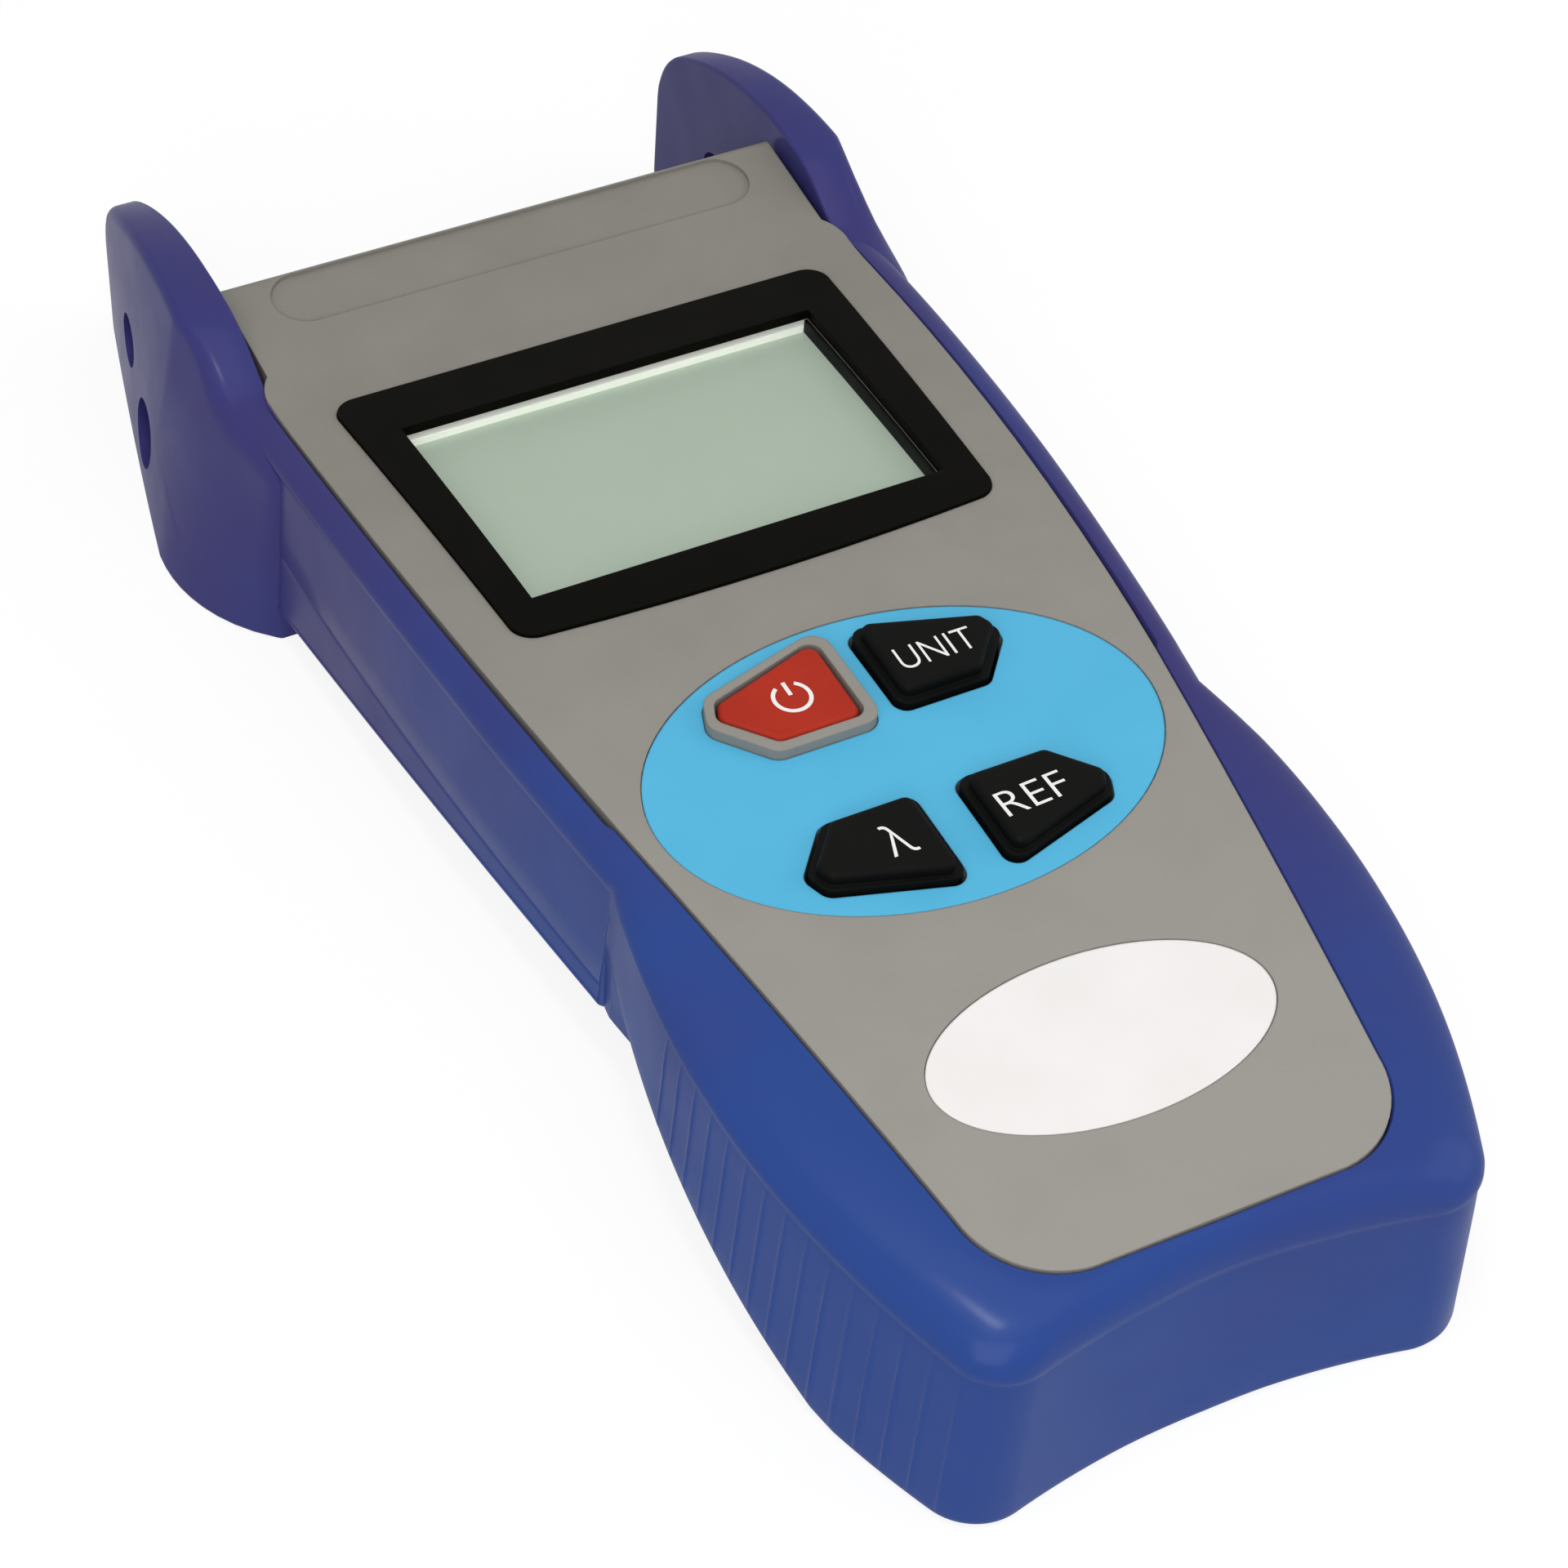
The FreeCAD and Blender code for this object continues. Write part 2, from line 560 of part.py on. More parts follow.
def wall_plan(label):
    """Plan of the plain wall, from under the flare to where the ears take over."""
    right = [
        (wall_half("wall_tail_y"), "wall_tail_y", ("side_radius + boot_wall", "left")),
        ("shoulder_half + boot_wall", "shoulder_y", None),
    ]
    return outline(label, mirrored(right))


def rim(y_text):
    return crown(y_text) + " - rim_drop"


def flare_side(label):
    """Side view of the flared part, cut away below from the foot up to the kink."""
    tail, head = FOOT_Y + " - 2", "kink_y + 1"
    points = [
        (tail, "0", None),
        ("tail_y + arch_end_rise", "0", ("arch_foot_radius", "left")),
        ("tail_y + arch_foot_rise", "arch_foot_z", None),
        (head, "flare_lift", None),
        (head, rim(head), ("face_radius", "left")),
        (tail, rim(tail), None),
    ]
    return extrude(label, outline(label + "_view", points, "side"), SPAN, True)


def wall_side(label):
    """Side view of the plain wall, lifted off the table behind the ears."""
    tail, head = "wall_tail_y - 1", "shoulder_y + 1"
    points = [
        (tail, "wall_lift", None),
        ("kink_y", "wall_lift", ("wall_arch_radius", "right")),
        (head, "wall_front_z", None),
        (head, rim(head), ("face_radius", "left")),
        (tail, rim(tail), None),
    ]
    return extrude(label, outline(label + "_view", points, "side"), SPAN, True)


def ear_side(label):
    points = [
        ("ear_start_y", "0", None),
        ("ear_front_y", "0", None),
        ("ear_front_y", "ear_front_z", ("ear_brow_radius", "left")),
        ("ear_brow_y", "ear_brow_z", ("ear_crown_radius", "left")),
        ("ear_crown_y", "ear_crown_z", ("ear_root_radius", "left")),
        ("ear_root_y", "ear_root_z", ("ear_sweep_radius", "right")),
        ("shoulder_y", rim("shoulder_y"), None),
        ("ear_start_y", rim("shoulder_y"), None),
    ]
    return outline(label, points, "side")


def ear_section(label, height, end):
    """Plan of one ear at its base or top; the holster's cavity trims its inner side."""
    size = "ear_%s_%%s" % end
    points = [
        (NECK_HALF + " - 2", "ear_start_y", None),
        ("shoulder_half + boot_wall", "ear_start_y", (size % "back_radius", "left")),
        ("shoulder_half + " + size % "bulge", size % "y", (size % "front_radius", "left")),
        ("shoulder_half + " + size % "tip_bulge", "ear_front_y + 1", None),
        (NECK_HALF + " - 2", "ear_front_y + 1", None),
    ]
    return outline(label, points, "plan", height)


def ear_edge(edge):
    """A test for edges round the outside of the ear, off its foot and its root."""
    first, middle, last = (edge.valueAt(edge.FirstParameter + share * (edge.LastParameter - edge.FirstParameter))
                           for share in (0, 0.5, 1))
    beyond_root = min(first.y, last.y) > value("ear_start_y") + 0.01
    return middle.x > value("shoulder_half") and beyond_root and max(first.z, last.z) > 0.01


def mirror_x(label, source):
    twin = DOC.addObject("Part::Mirroring", label)
    twin.Source = source
    twin.Normal = FreeCAD.Vector(1, 0, 0)
    return twin


def ears():
    blank = DOC.addObject("Part::Loft", "ear_blank")
    blank.Sections = [ear_section("ear_base", "0", "base"), ear_section("ear_top", "crown_z", "top")]
    blank.Solid, blank.Ruled = True, True
    lobe = common("ear_shape", blank, extrude("ear_lobe", ear_side("ear_side"), SPAN, True))
    ear = softened("ear", lobe, ear_edge, "ear_round")
    return [ear, mirror_x("ear_twin", ear)]


def rim_edge(edge):
    """A test for edges that run along the holster's rim, not across it."""
    points = [edge.valueAt(t) for t in (edge.FirstParameter, edge.LastParameter)]
    across = edge.Curve.TypeId == "Part::GeomLine"
    return not across and all(abs(p.z - value(rim(str(p.y)))) < 0.01 for p in points)


def rimmed(label, plan, side, text):
    """A length of the holster's wall with the outer edge of its rim rounded."""
    wall = common(label + "_block", extrude(label + "_column", plan, COLUMN), side)
    return softened(label, wall, rim_edge, text)


RIBS = range(15)


def grip_ribs(side):
    """Fine upright ribs on the flared sides."""
    bars = []
    for i in RIBS:
        y = "(rib_first_y - %d * rib_pitch)" % i
        bars.append(box("rib_bar_%d" % i, SIDE_TO_SIDE, (y + " - rib_width / 2", y + " + rib_width / 2"),
                        ("0", rim(y) + " - flare_round - rib_drop")))
    column = extrude("rib_column", flare_plan("rib_plan", "rib_proud"), COLUMN)
    return common("rib_set", common("rib_bars", compound("rib_row", bars), column), side)


def rubber_boot():
    side = flare_side("flare_side")
    walls = [rimmed("flare", flare_plan("flare_plan"), side, "flare_round"),
             rimmed("wall", wall_plan("wall_plan"), wall_side("wall_side"), "straight_round")]
    head_floor = box("head_floor", ("-" + NECK_HALF, NECK_HALF), ("ear_start_y", "neck_end_y"), ("0", "floor_top"))
    cavity = extrude("boot_cavity", housing_plan("boot_cavity_plan", "floor_top", "slip"), COLUMN)
    gap = box("ear_gap_block", ("-" + EAR_INNER_HALF, EAR_INNER_HALF),
              ("neck_end_y - 2", "ear_front_y + 2"), ("-1", COLUMN))
    under = extrude("boot_under", housing_plan("boot_under_plan", "-1", "slip"), "floor_top + 2")
    opening = common("floor_opening", under, box("floor_opening_block", SIDE_TO_SIDE,
                     ("tail_y + floor_rise", "ear_start_y"), ("-1", COLUMN)))
    eyelets = [rod("%s_cut" % name, name + "_radius", "4 * shoulder_half",
                   ("-2 * shoulder_half", name + "_y", name + "_z"), "x") for name in ("eyelet_front", "eyelet_back")]
    body = fuse("boot_body", head_floor, grip_ribs(side), *(walls + ears()))
    return cut("rubber_boot", body, cavity, gap, opening, *eyelets)


# ---------------------------------------------------------------- display
def display_bezel():
    plate = inlay("bezel_plate", bezel_column("bezel_plate_column"), "bezel_proud", "-bezel_thickness")
    return cut("display_bezel", plate, view_column("bezel_opening"))


def display_window():
    return inlay("display_window", bezel_column("window_column"), "-bezel_thickness", "-bezel_seat")


def display_frame():
    """Carrier under the window: a white well down to the glass, with a seat round the glass."""
    block = common("frame_block", view_column("frame_column", "frame_wall"), below_face("frame_top", "bezel_seat"))
    seat = common("frame_seat", view_column("frame_seat_column", "glass_margin + part_gap"),
                  below_face("frame_seat_top", "glass_drop"))
    return cut("display_frame", block, view_column("frame_well", "part_gap / 2"), seat,
               box("frame_floor", SIDE_TO_SIDE, END_TO_END, ("-1", BOARD_TOP)))


SIDE_TO_SIDE = ("-2 * shoulder_half", "2 * shoulder_half")
END_TO_END = ("2 * tail_y", "3 * neck_end_y")


def lcd_panel():
    return inlay("lcd_panel", view_column("glass_column", "glass_margin"), "-glass_drop",
                 "-glass_drop - glass_thickness")


def backlight():
    wedge = common("backlight_wedge", view_column("backlight_column", "glass_margin"),
                   below_face("backlight_top", "glass_drop + glass_thickness"))
    return cut("backlight", wedge, box("backlight_floor", SIDE_TO_SIDE, END_TO_END, ("-1", BOARD_TOP)))


# ---------------------------------------------------------------- keypad
FLANGE_TOP = "(" + crown("pad_y + key_high + key_flange") + " - face_wall - part_gap)"
SWITCH_TOP = "(key_board_z + board_thickness + switch_height)"


def keypad_overlay():
    sheet = inlay("overlay_sheet", pad_oval("overlay_oval"), "pad_thickness - pad_recess", "-pad_recess")
    holes = [key_column(key + "_window", key, COLLAR_GROW + " + part_gap" if key == "power_key" else "key_gap")
             for key in KEYS]
    return cut("keypad_overlay", sheet, *holes)


def key_cap(label, key):
    """A moulded key: cap, wider base step where it has one, retaining flange and actuator."""
    side, end = KEYS[key]
    grow, proud = key_grow(key), "key_proud"
    pieces = []
    if key == "power_key":
        cap_grow, proud = grow, "power_proud"
    else:
        cap_grow = "-key_skirt"
        skirt_top = crown("pad_y") + " + key_skirt_rise"
        pieces.append(key_column(key + "_skirt", key, grow, FLANGE_TOP + " - key_flange_thickness / 2", skirt_top))
    top = crown("pad_y") + " + " + proud
    cap = key_column(key + "_cap", key, cap_grow, FLANGE_TOP + " - key_flange_thickness / 2", top)
    pieces.append(dressed(cap, "Fillet", level_at(value(top)), "Radius", "key_edge"))
    pieces.append(key_column(key + "_flange", key, grow + " + key_flange", FLANGE_TOP + " - key_flange_thickness",
                             FLANGE_TOP))
    x, y = key_centre(key)
    stem_bottom = SWITCH_TOP + " + key_travel + part_gap"
    pieces.append(rod(key + "_stem", "stem_radius", FLANGE_TOP + " - key_flange_thickness / 2 - (%s)" % stem_bottom,
                      (x, y, stem_bottom)))
    return fuse(label, *pieces)


def key_switches():
    switches = []
    for key in KEYS:
        x, y = key_centre(key)
        switches.append(box(key + "_switch", ("%s - switch_half" % x, "%s + switch_half" % x),
                            ("%s - switch_half" % y, "%s + switch_half" % y),
                            ("key_board_z + board_thickness", SWITCH_TOP)))
    return compound("key_switches", switches)


# ---------------------------------------------------------------- electronics
def board(label, half, tail_y, head_y, z, screws):
    plate = box(label + "_plate", ("-" + half, half), (tail_y, head_y), (z, z + " + board_thickness"))
    holes = [rod("%s_hole_%d" % (label, i), "small_screw_radius + part_gap", "3 * board_thickness",
                 (x, y, z + " - board_thickness")) for i, (x, y) in enumerate(screws)]
    return cut(label, plate, *holes)


def small_screws(label, places, under_head, way):
    """Pan-head screws; way is 1 for screws driven down and -1 for screws driven up."""
    screws = []
    for i, (x, y) in enumerate(places):
        head_z = under_head if way > 0 else under_head + " - small_head_height"
        shank_z = under_head + " - small_screw_length + board_thickness" if way > 0 else under_head
        shank = "small_screw_length - board_thickness" if way > 0 else "small_screw_length"
        screws.append(fuse("%s_%d" % (label, i),
                           rod("%s_head_%d" % (label, i), "small_head_radius", "small_head_height", (x, y, head_z)),
                           rod("%s_shank_%d" % (label, i), "small_screw_radius", shank, (x, y, shank_z))))
    return compound(label, screws)


def housing_screws():
    screws = []
    for i, (x, y) in enumerate(screw_places()):
        screws.append(fuse("housing_screw_%d" % i,
                           rod("housing_head_%d" % i, "screw_head", "screw_head_height", (x, y, "back_z")),
                           rod("housing_shank_%d" % i, "screw_radius", "screw_length", (x, y, SCREW_HEAD_TOP))))
    return compound("housing_screws", screws)


PORT_WALL_Y = "(neck_end_y - shell_wall)"


def optical_port():
    flange = rod("port_flange_disc", "port_flange", "port_flange_thickness",
                 ("0", PORT_WALL_Y + " - port_flange_thickness", "port_z"), "y")
    barrel = rod("port_barrel", "port_radius", "port_tail + shell_wall + port_reach",
                 ("0", PORT_WALL_Y + " - port_tail", "port_z"), "y")
    bore = rod("port_bore_cut", "port_bore", "50", ("0", PORT_WALL_Y + " - 25", "port_z"), "y")
    return cut("optical_port", fuse("port_body", flange, barrel), bore)


def photodiode():
    return rod("photodiode", "diode_radius", "diode_length",
               ("0", PORT_WALL_Y + " - port_tail - diode_length", "port_z"), "y")


def port_cap():
    cap = rod("cap_shell", "cap_radius", "cap_reach", ("0", "neck_end_y + part_gap", "port_z"), "y")
    bore = rod("cap_bore", "port_radius + slip", "port_reach + slip", ("0", "neck_end_y - slip + part_gap", "port_z"),
               "y")
    return cut("port_cap", cap, bore)


def power_socket():
    x, half = "socket_x", "socket_width / 2"
    block = box("socket_block", ("%s - %s" % (x, half), "%s + %s" % (x, half)),
                ("neck_end_y - socket_depth", "neck_end_y"),
                ("socket_z - socket_height / 2", "socket_z + socket_height / 2"))
    bore = rod("socket_bore_cut", "socket_bore", "socket_bore_depth + 1",
               (x, "neck_end_y - socket_bore_depth", "socket_z"), "y")
    pin = rod("socket_pin_rod", "socket_pin", "socket_bore_depth", (x, "neck_end_y - socket_bore_depth - 0.5",
                                                                    "socket_z"), "y")
    return fuse("power_socket", cut("socket_shell", block, bore), pin)


# ---------------------------------------------------------------- power
CELLS = {1: 1, 2: -1, 3: 1}


def cell_tail(number):
    """Where a cell's can begins: its spring or its nub comes between it and the tail contact."""
    clearance = "spring_length" if CELLS[number] > 0 else "cell_nub_length"
    return "(%s + contact_thickness + %s)" % (BAY_TAIL_Y, clearance)


def cell_x(number):
    return "%d * cell_pitch" % (number - 2)


def battery(number):
    tail = cell_tail(number)
    can = rod("cell_can_%d" % number, "cell_radius", "cell_length", (cell_x(number), tail, CELL_Z), "y")
    nub_y = tail + " + cell_length - 0.5" if CELLS[number] > 0 else tail + " - cell_nub_length"
    nub = rod("cell_nub_%d" % number, "cell_nub", "cell_nub_length + 0.5", (cell_x(number), nub_y, CELL_Z), "y")
    return fuse("battery_%d" % number, can, nub)


def contact_plates():
    plates = []
    for number in CELLS:
        x = cell_x(number)
        for name, y in (("tail", BAY_TAIL_Y), ("head", BAY_HEAD_Y + " - contact_thickness")):
            plates.append(box("contact_%s_%d" % (name, number), (x + " - contact_half", x + " + contact_half"),
                              (y, y + " + contact_thickness"), (CELL_Z + " - contact_half", "parting_z - 1")))
    return compound("contact_plates", plates)


def battery_springs():
    """Bowed leaf springs, each standing between a contact plate and the flat end of its cell."""
    leaves = []
    for number, way in CELLS.items():
        label = "battery_spring_%d" % number
        low = BAY_TAIL_Y + " + contact_thickness" if way > 0 else cell_tail(number) + " + cell_length"
        crest = low + " + spring_length" if way > 0 else low
        at = (cell_x(number), "%s - %d * %s" % (crest, way, LEAF_RADIUS), CELL_Z + " - leaf_half")
        bow = cut(label + "_bow", rod(label + "_outside", LEAF_RADIUS, "2 * leaf_half", at),
                  rod(label + "_inside", LEAF_RADIUS + " - leaf_thickness", "2 * leaf_half", at))
        leaves.append(common(label, bow, box(label + "_room", SIDE_TO_SIDE, (low, low + " + spring_length"),
                                             ("0", COLUMN))))
    return compound("battery_springs", leaves)


LEAF_RADIUS = "((leaf_reach ^ 2 + spring_length ^ 2) / (2 * spring_length))"


def battery_door():
    plate = rounded_column("door_plate", door_points(), "door_corner", "back_z", "back_z + door_thickness")
    rest = ("door_tail_y + door_gap", "door_tail_y + 2 * tab_thickness")
    tabs = []
    for i, side in enumerate((-1, 1)):
        x = ("%d * tab_x - tab_half" % side, "%d * tab_x + tab_half" % side)
        tabs.append(box("door_tab_rise_%d" % i, x, rest, ("back_z + door_thickness / 2", TAB_TOP)))
        tabs.append(box("door_tab_%d" % i, x, ("door_tail_y - tab_reach", rest[1]),
                        (TAB_TOP + " - tab_thickness", TAB_TOP)))
    hollow = rod("door_grip_cut", "door_grip_radius", "2 * door_grip_half",
                 ("-door_grip_half", "door_grip_y", "back_z + door_grip_depth - door_grip_radius"), "x")
    return cut("battery_door", fuse("door_body", plate, *tabs), hollow)


TAB_TOP = "(back_z + shell_wall + part_gap + tab_thickness)"


# ---------------------------------------------------------------- the list of sub-parts
def build():
    front_shell()
    rear_shell()
    rubber_boot()
    display_bezel()
    display_window()
    display_frame()
    lcd_panel()
    backlight()
    keypad_overlay()
    for key in KEYS:
        key_cap(key, key)
    key_switches()
    board("key_board", "key_board_half", "key_board_bottom_y", "key_board_top_y", "key_board_z",
          key_board_screws())
    board("main_board", "board_half", "board_bottom_y", "board_top_y", "board_z", board_screws())
    small_screws("key_board_screws", key_board_screws(), "key_board_z", -1)
    small_screws("main_board_screws", board_screws(), BOARD_TOP, 1)
    inlay("oval_label", label_oval("label_column"), "label_thickness - label_recess", "-label_recess")
    housing_screws()
    optical_port()
    photodiode()
    port_cap()
    power_socket()
    for number in CELLS:
        battery(number)
    contact_plates()
    battery_springs()
    battery_door()


NODES = [
    "front_shell", "rear_shell", "rubber_boot", "display_bezel", "display_window", "display_frame",
    "lcd_panel", "backlight", "keypad_overlay", "power_key", "unit_key", "wavelength_key", "reference_key",
    "key_switches", "key_board", "main_board", "key_board_screws", "main_board_screws", "oval_label",
    "housing_screws", "optical_port", "photodiode", "port_cap", "power_socket", "battery_1", "battery_2",
    "battery_3", "contact_plates", "battery_springs", "battery_door",
]


def faults():
    found = ["%s: %s" % (o.Label, o.State) for o in DOC.Objects if {"Invalid", "Error"} & set(o.State)]
    for label in NODES:
        shape = DOC.getObjectsByLabel(label)[0].Shape
        if shape.isNull() or not shape.isValid() or not shape.Solids:
            found.append("%s: no valid solid" % label)
    return found


def export():
    os.makedirs("parts", exist_ok=True)
    for label in NODES:
        shape = DOC.getObjectsByLabel(label)[0].Shape
        shape.exportStep("parts/%s.step" % label)
        bounds = shape.BoundBox
        print("%s: %d solids, %.0f mm3, x %.1f..%.1f y %.1f..%.1f z %.1f..%.1f" % (
            label, len(shape.Solids), shape.Volume, bounds.XMin, bounds.XMax, bounds.YMin, bounds.YMax,
            bounds.ZMin, bounds.ZMax))


fill_sheet()
build()
DOC.recompute()
FAULTS = faults()
if FAULTS:
    raise RuntimeError("; ".join(FAULTS))
export()
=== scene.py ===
"""Looks for the optical power meter: rubber holster, legends, materials, light and camera."""
import math

import bmesh
import bpy
import numpy as np
from mathutils import Matrix, Vector


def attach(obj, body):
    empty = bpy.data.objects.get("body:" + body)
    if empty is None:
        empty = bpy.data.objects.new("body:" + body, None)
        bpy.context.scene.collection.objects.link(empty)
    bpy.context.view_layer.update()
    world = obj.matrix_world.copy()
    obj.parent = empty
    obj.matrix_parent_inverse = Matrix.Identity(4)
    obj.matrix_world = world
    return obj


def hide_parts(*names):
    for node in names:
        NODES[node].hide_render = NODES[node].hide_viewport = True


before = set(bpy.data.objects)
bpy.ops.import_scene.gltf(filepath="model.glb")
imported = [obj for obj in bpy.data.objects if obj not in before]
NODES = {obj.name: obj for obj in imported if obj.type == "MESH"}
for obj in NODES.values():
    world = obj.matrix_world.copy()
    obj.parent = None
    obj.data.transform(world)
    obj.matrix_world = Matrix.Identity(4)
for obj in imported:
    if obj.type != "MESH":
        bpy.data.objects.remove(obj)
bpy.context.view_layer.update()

MM = 0.001

# Shape of the housing, in millimetres, the same as in the CAD.
CROWN_Y, CROWN_Z, FACE_RADIUS = -31.0, 28.1, 603.0
PAD_Y = -27.6
SHOULDER_Y = 47.0


def face(y):
    """Height of the crowned face."""
    return CROWN_Z - (y - CROWN_Y) ** 2 / (2 * FACE_RADIUS)


# ------------------------------------------------------------------ materials
def srgb(r, g, b):
    """Linear colour from 0-255 screen values."""
    def lin(v):
        v /= 255
        return v / 12.92 if v <= 0.04045 else ((v + 0.055) / 1.055) ** 2.4
    return (lin(r), lin(g), lin(b), 1.0)


class Shader:
    """A Principled material with noise-driven colour, roughness and bump in object space."""

    def __init__(self, name, **sockets):
        self.mat = bpy.data.materials.new(name)
        self.mat.use_nodes = True
        self.tree = self.mat.node_tree
        self.bsdf = self.tree.nodes["Principled BSDF"]
        self.coord = self.tree.nodes.new("ShaderNodeTexCoord").outputs["Object"]
        self.normal = None
        for key, value in sockets.items():
            self.bsdf.inputs[key.replace("_", " ")].default_value = value

    def noise(self, size, detail=3.0):
        """Noise whose features are about size millimetres wide."""
        node = self.tree.nodes.new("ShaderNodeTexNoise")
        node.inputs["Scale"].default_value = 1 / (size * MM)
        node.inputs["Detail"].default_value = detail
        self.tree.links.new(self.coord, node.inputs["Vector"])
        return node.outputs["Fac"]

    def spread(self, value, low, high, start=0.3, end=0.7):
        """The value stretched, so that start to end becomes low to high."""
        node = self.tree.nodes.new("ShaderNodeMapRange")
        for name, number in zip(("From Min", "From Max", "To Min", "To Max"), (start, end, low, high)):
            node.inputs[name].default_value = number
        self.tree.links.new(value, node.inputs["Value"])
        return node.outputs["Result"]

    def blend(self, first, second, share):
        """Base colour mixed from two by a share from 0 to 1."""
        mix = self.tree.nodes.new("ShaderNodeMix")
        mix.data_type = "RGBA"
        mix.inputs["A"].default_value = first
        mix.inputs["B"].default_value = second
        self.tree.links.new(share, mix.inputs["Factor"])
        self.tree.links.new(mix.outputs["Result"], self.bsdf.inputs["Base Color"])
        return self

    def colour(self, first, second, size):
        """Two colours mixed by soft noise."""
        return self.blend(first, second, self.spread(self.noise(size, 2.0), 0.0, 1.0))

    def shade_drift(self, first, second, start, end, size, waver=0.25, skew=0.0):
        """Painted shade: colour that drifts from first to second along the length, broken up by noise.

        start and end are places along Y in millimetres. skew adds a share of X to Y, and waver is how far
        the noise pushes the mix."""
        split = self.tree.nodes.new("ShaderNodeSeparateXYZ")
        self.tree.links.new(self.coord, split.inputs[0])
        slant = self.tree.nodes.new("ShaderNodeMath")
        slant.operation = "MULTIPLY_ADD"
        self.tree.links.new(split.outputs["X"], slant.inputs[0])
        slant.inputs[1].default_value = skew
        self.tree.links.new(split.outputs["Y"], slant.inputs[2])
        way = self.spread(slant.outputs[0], 0.0, 1.0, start * MM, end * MM)
        add = self.tree.nodes.new("ShaderNodeMath")
        add.operation, add.use_clamp = "ADD", True
        self.tree.links.new(way, add.inputs[0])
        self.tree.links.new(self.spread(self.noise(size), -waver, waver), add.inputs[1])
        return self.blend(first, second, add.outputs[0])

    def roughness(self, low, high, size):
        """Roughness that wanders between two values."""
        self.tree.links.new(self.spread(self.noise(size), low, high), self.bsdf.inputs["Roughness"])
        return self

    def bump(self, size, height):
        """Grain whose size and height are in millimetres."""
        node = self.tree.nodes.new("ShaderNodeBump")
        node.inputs["Strength"].default_value = 1.0
        node.inputs["Distance"].default_value = height * MM
        self.tree.links.new(self.noise(size, 2.0), node.inputs["Height"])
        if self.normal:
            self.tree.links.new(self.normal, node.inputs["Normal"])
        self.normal = node.outputs["Normal"]
        self.tree.links.new(self.normal, self.bsdf.inputs["Normal"])
        return self

    def soft_edges(self, radius):
        """Small rounding of the edges that the light picks out."""
        node = self.tree.nodes.new("ShaderNodeBevel")
        node.samples = 6
        node.inputs["Radius"].default_value = radius * MM
        self.normal = node.outputs["Normal"]
        self.tree.links.new(self.normal, self.bsdf.inputs["Normal"])
        return self


# Sizes of the colour's and the sheen's unevenness, and how far noise shifts the painted shade of a drifting
# colour.
MOTTLE, SHEEN_SPOT, MOTTLE_WAVER = 9.0, 4.0, 0.09


def moulded(name, first, second, rough=(0.45, 0.6), grain=0.35, depth=0.012, edge=0.25, length=None, **sockets):
    """A moulded surface: two colours, its range of roughness, its grain's size and depth, its edges' radius.

    With length, the colour drifts from first to second between those places, as painted shade."""
    shader = Shader(name, **sockets).soft_edges(edge)
    if length:
        shader.shade_drift(first, second, *length, MOTTLE, MOTTLE_WAVER)
    else:
        shader.colour(first, second, MOTTLE)
    return shader.roughness(*rough, SHEEN_SPOT).bump(grain, depth).mat


# Painted shade: the grey drifts from lighter at the foot to darker towards the head.
GREY = moulded("grey_plastic", srgb(152, 148, 142), srgb(126, 123, 115), (0.5, 0.62), 0.45, 0.035,
               length=(-70.0, 85.0), Specular_IOR_Level=0.3)
BLACK_FRAME = moulded("black_frame", srgb(10, 10, 7), srgb(13, 12, 9), (0.4, 0.5), 0.5, 0.008,
                      Specular_IOR_Level=0.02)
LIGHT_BLUE = moulded("light_blue_film", srgb(82, 179, 219), srgb(86, 183, 223), (0.42, 0.52), 0.3, 0.006,
                     Specular_IOR_Level=0.25)
RED = moulded("red_silicone", srgb(176, 48, 30), srgb(166, 44, 28), (0.45, 0.55), 0.3, 0.012,
              Specular_IOR_Level=0.12)
BLACK_KEY = moulded("black_silicone", srgb(10, 10, 9), srgb(14, 14, 13), (0.45, 0.58), 0.25, 0.02,
                    Specular_IOR_Level=0.05)
WHITE_LABEL = moulded("white_label", srgb(237, 234, 232), srgb(241, 238, 237), (0.4, 0.5), 0.3, 0.004)
# Painted light: the white carrier glows a little so that the strip at the window's top looks brightly lit.
GLOWING_WHITE_CARRIER = moulded("white_carrier", srgb(238, 242, 230), srgb(242, 245, 235), (0.4, 0.5),
                        Emission_Strength=0.35, Emission_Color=srgb(238, 242, 230))
# Painted light: the liquid crystal glows in its own colour to fill the shade of the window's well and look
# evenly lit.
GLOWING_LCD = moulded("lcd_surface_painted_glow", srgb(163, 178, 162), srgb(165, 180, 164), (0.3, 0.4), 0.3, 0.002,
              Specular_IOR_Level=0.2, Emission_Strength=0.32, Emission_Color=srgb(168, 182, 166))
CIRCUIT = moulded("circuit_board", srgb(28, 92, 52), srgb(24, 80, 46), (0.3, 0.4))
STEEL = moulded("plated_steel", srgb(180, 180, 178), srgb(165, 166, 166), (0.25, 0.4), Metallic=1.0)
NICKEL = moulded("nickel", srgb(196, 192, 184), srgb(182, 178, 170), (0.18, 0.3), Metallic=1.0)
DARK_PLASTIC = moulded("dark_plastic", srgb(30, 30, 31), srgb(38, 38, 38), (0.45, 0.6))
CELL = moulded("cell_jacket", srgb(52, 54, 60), srgb(60, 61, 66), (0.3, 0.4))
LEGEND = moulded("legend_ink", srgb(238, 238, 236), srgb(244, 244, 242), (0.45, 0.55), 0.2, 0.002, 0.02)
PANE = (Shader("clear_pane", Alpha=0.06, Base_Color=(0.02, 0.03, 0.02, 1), Specular_IOR_Level=0.3)
        .roughness(0.04, 0.08, 12.0).mat)
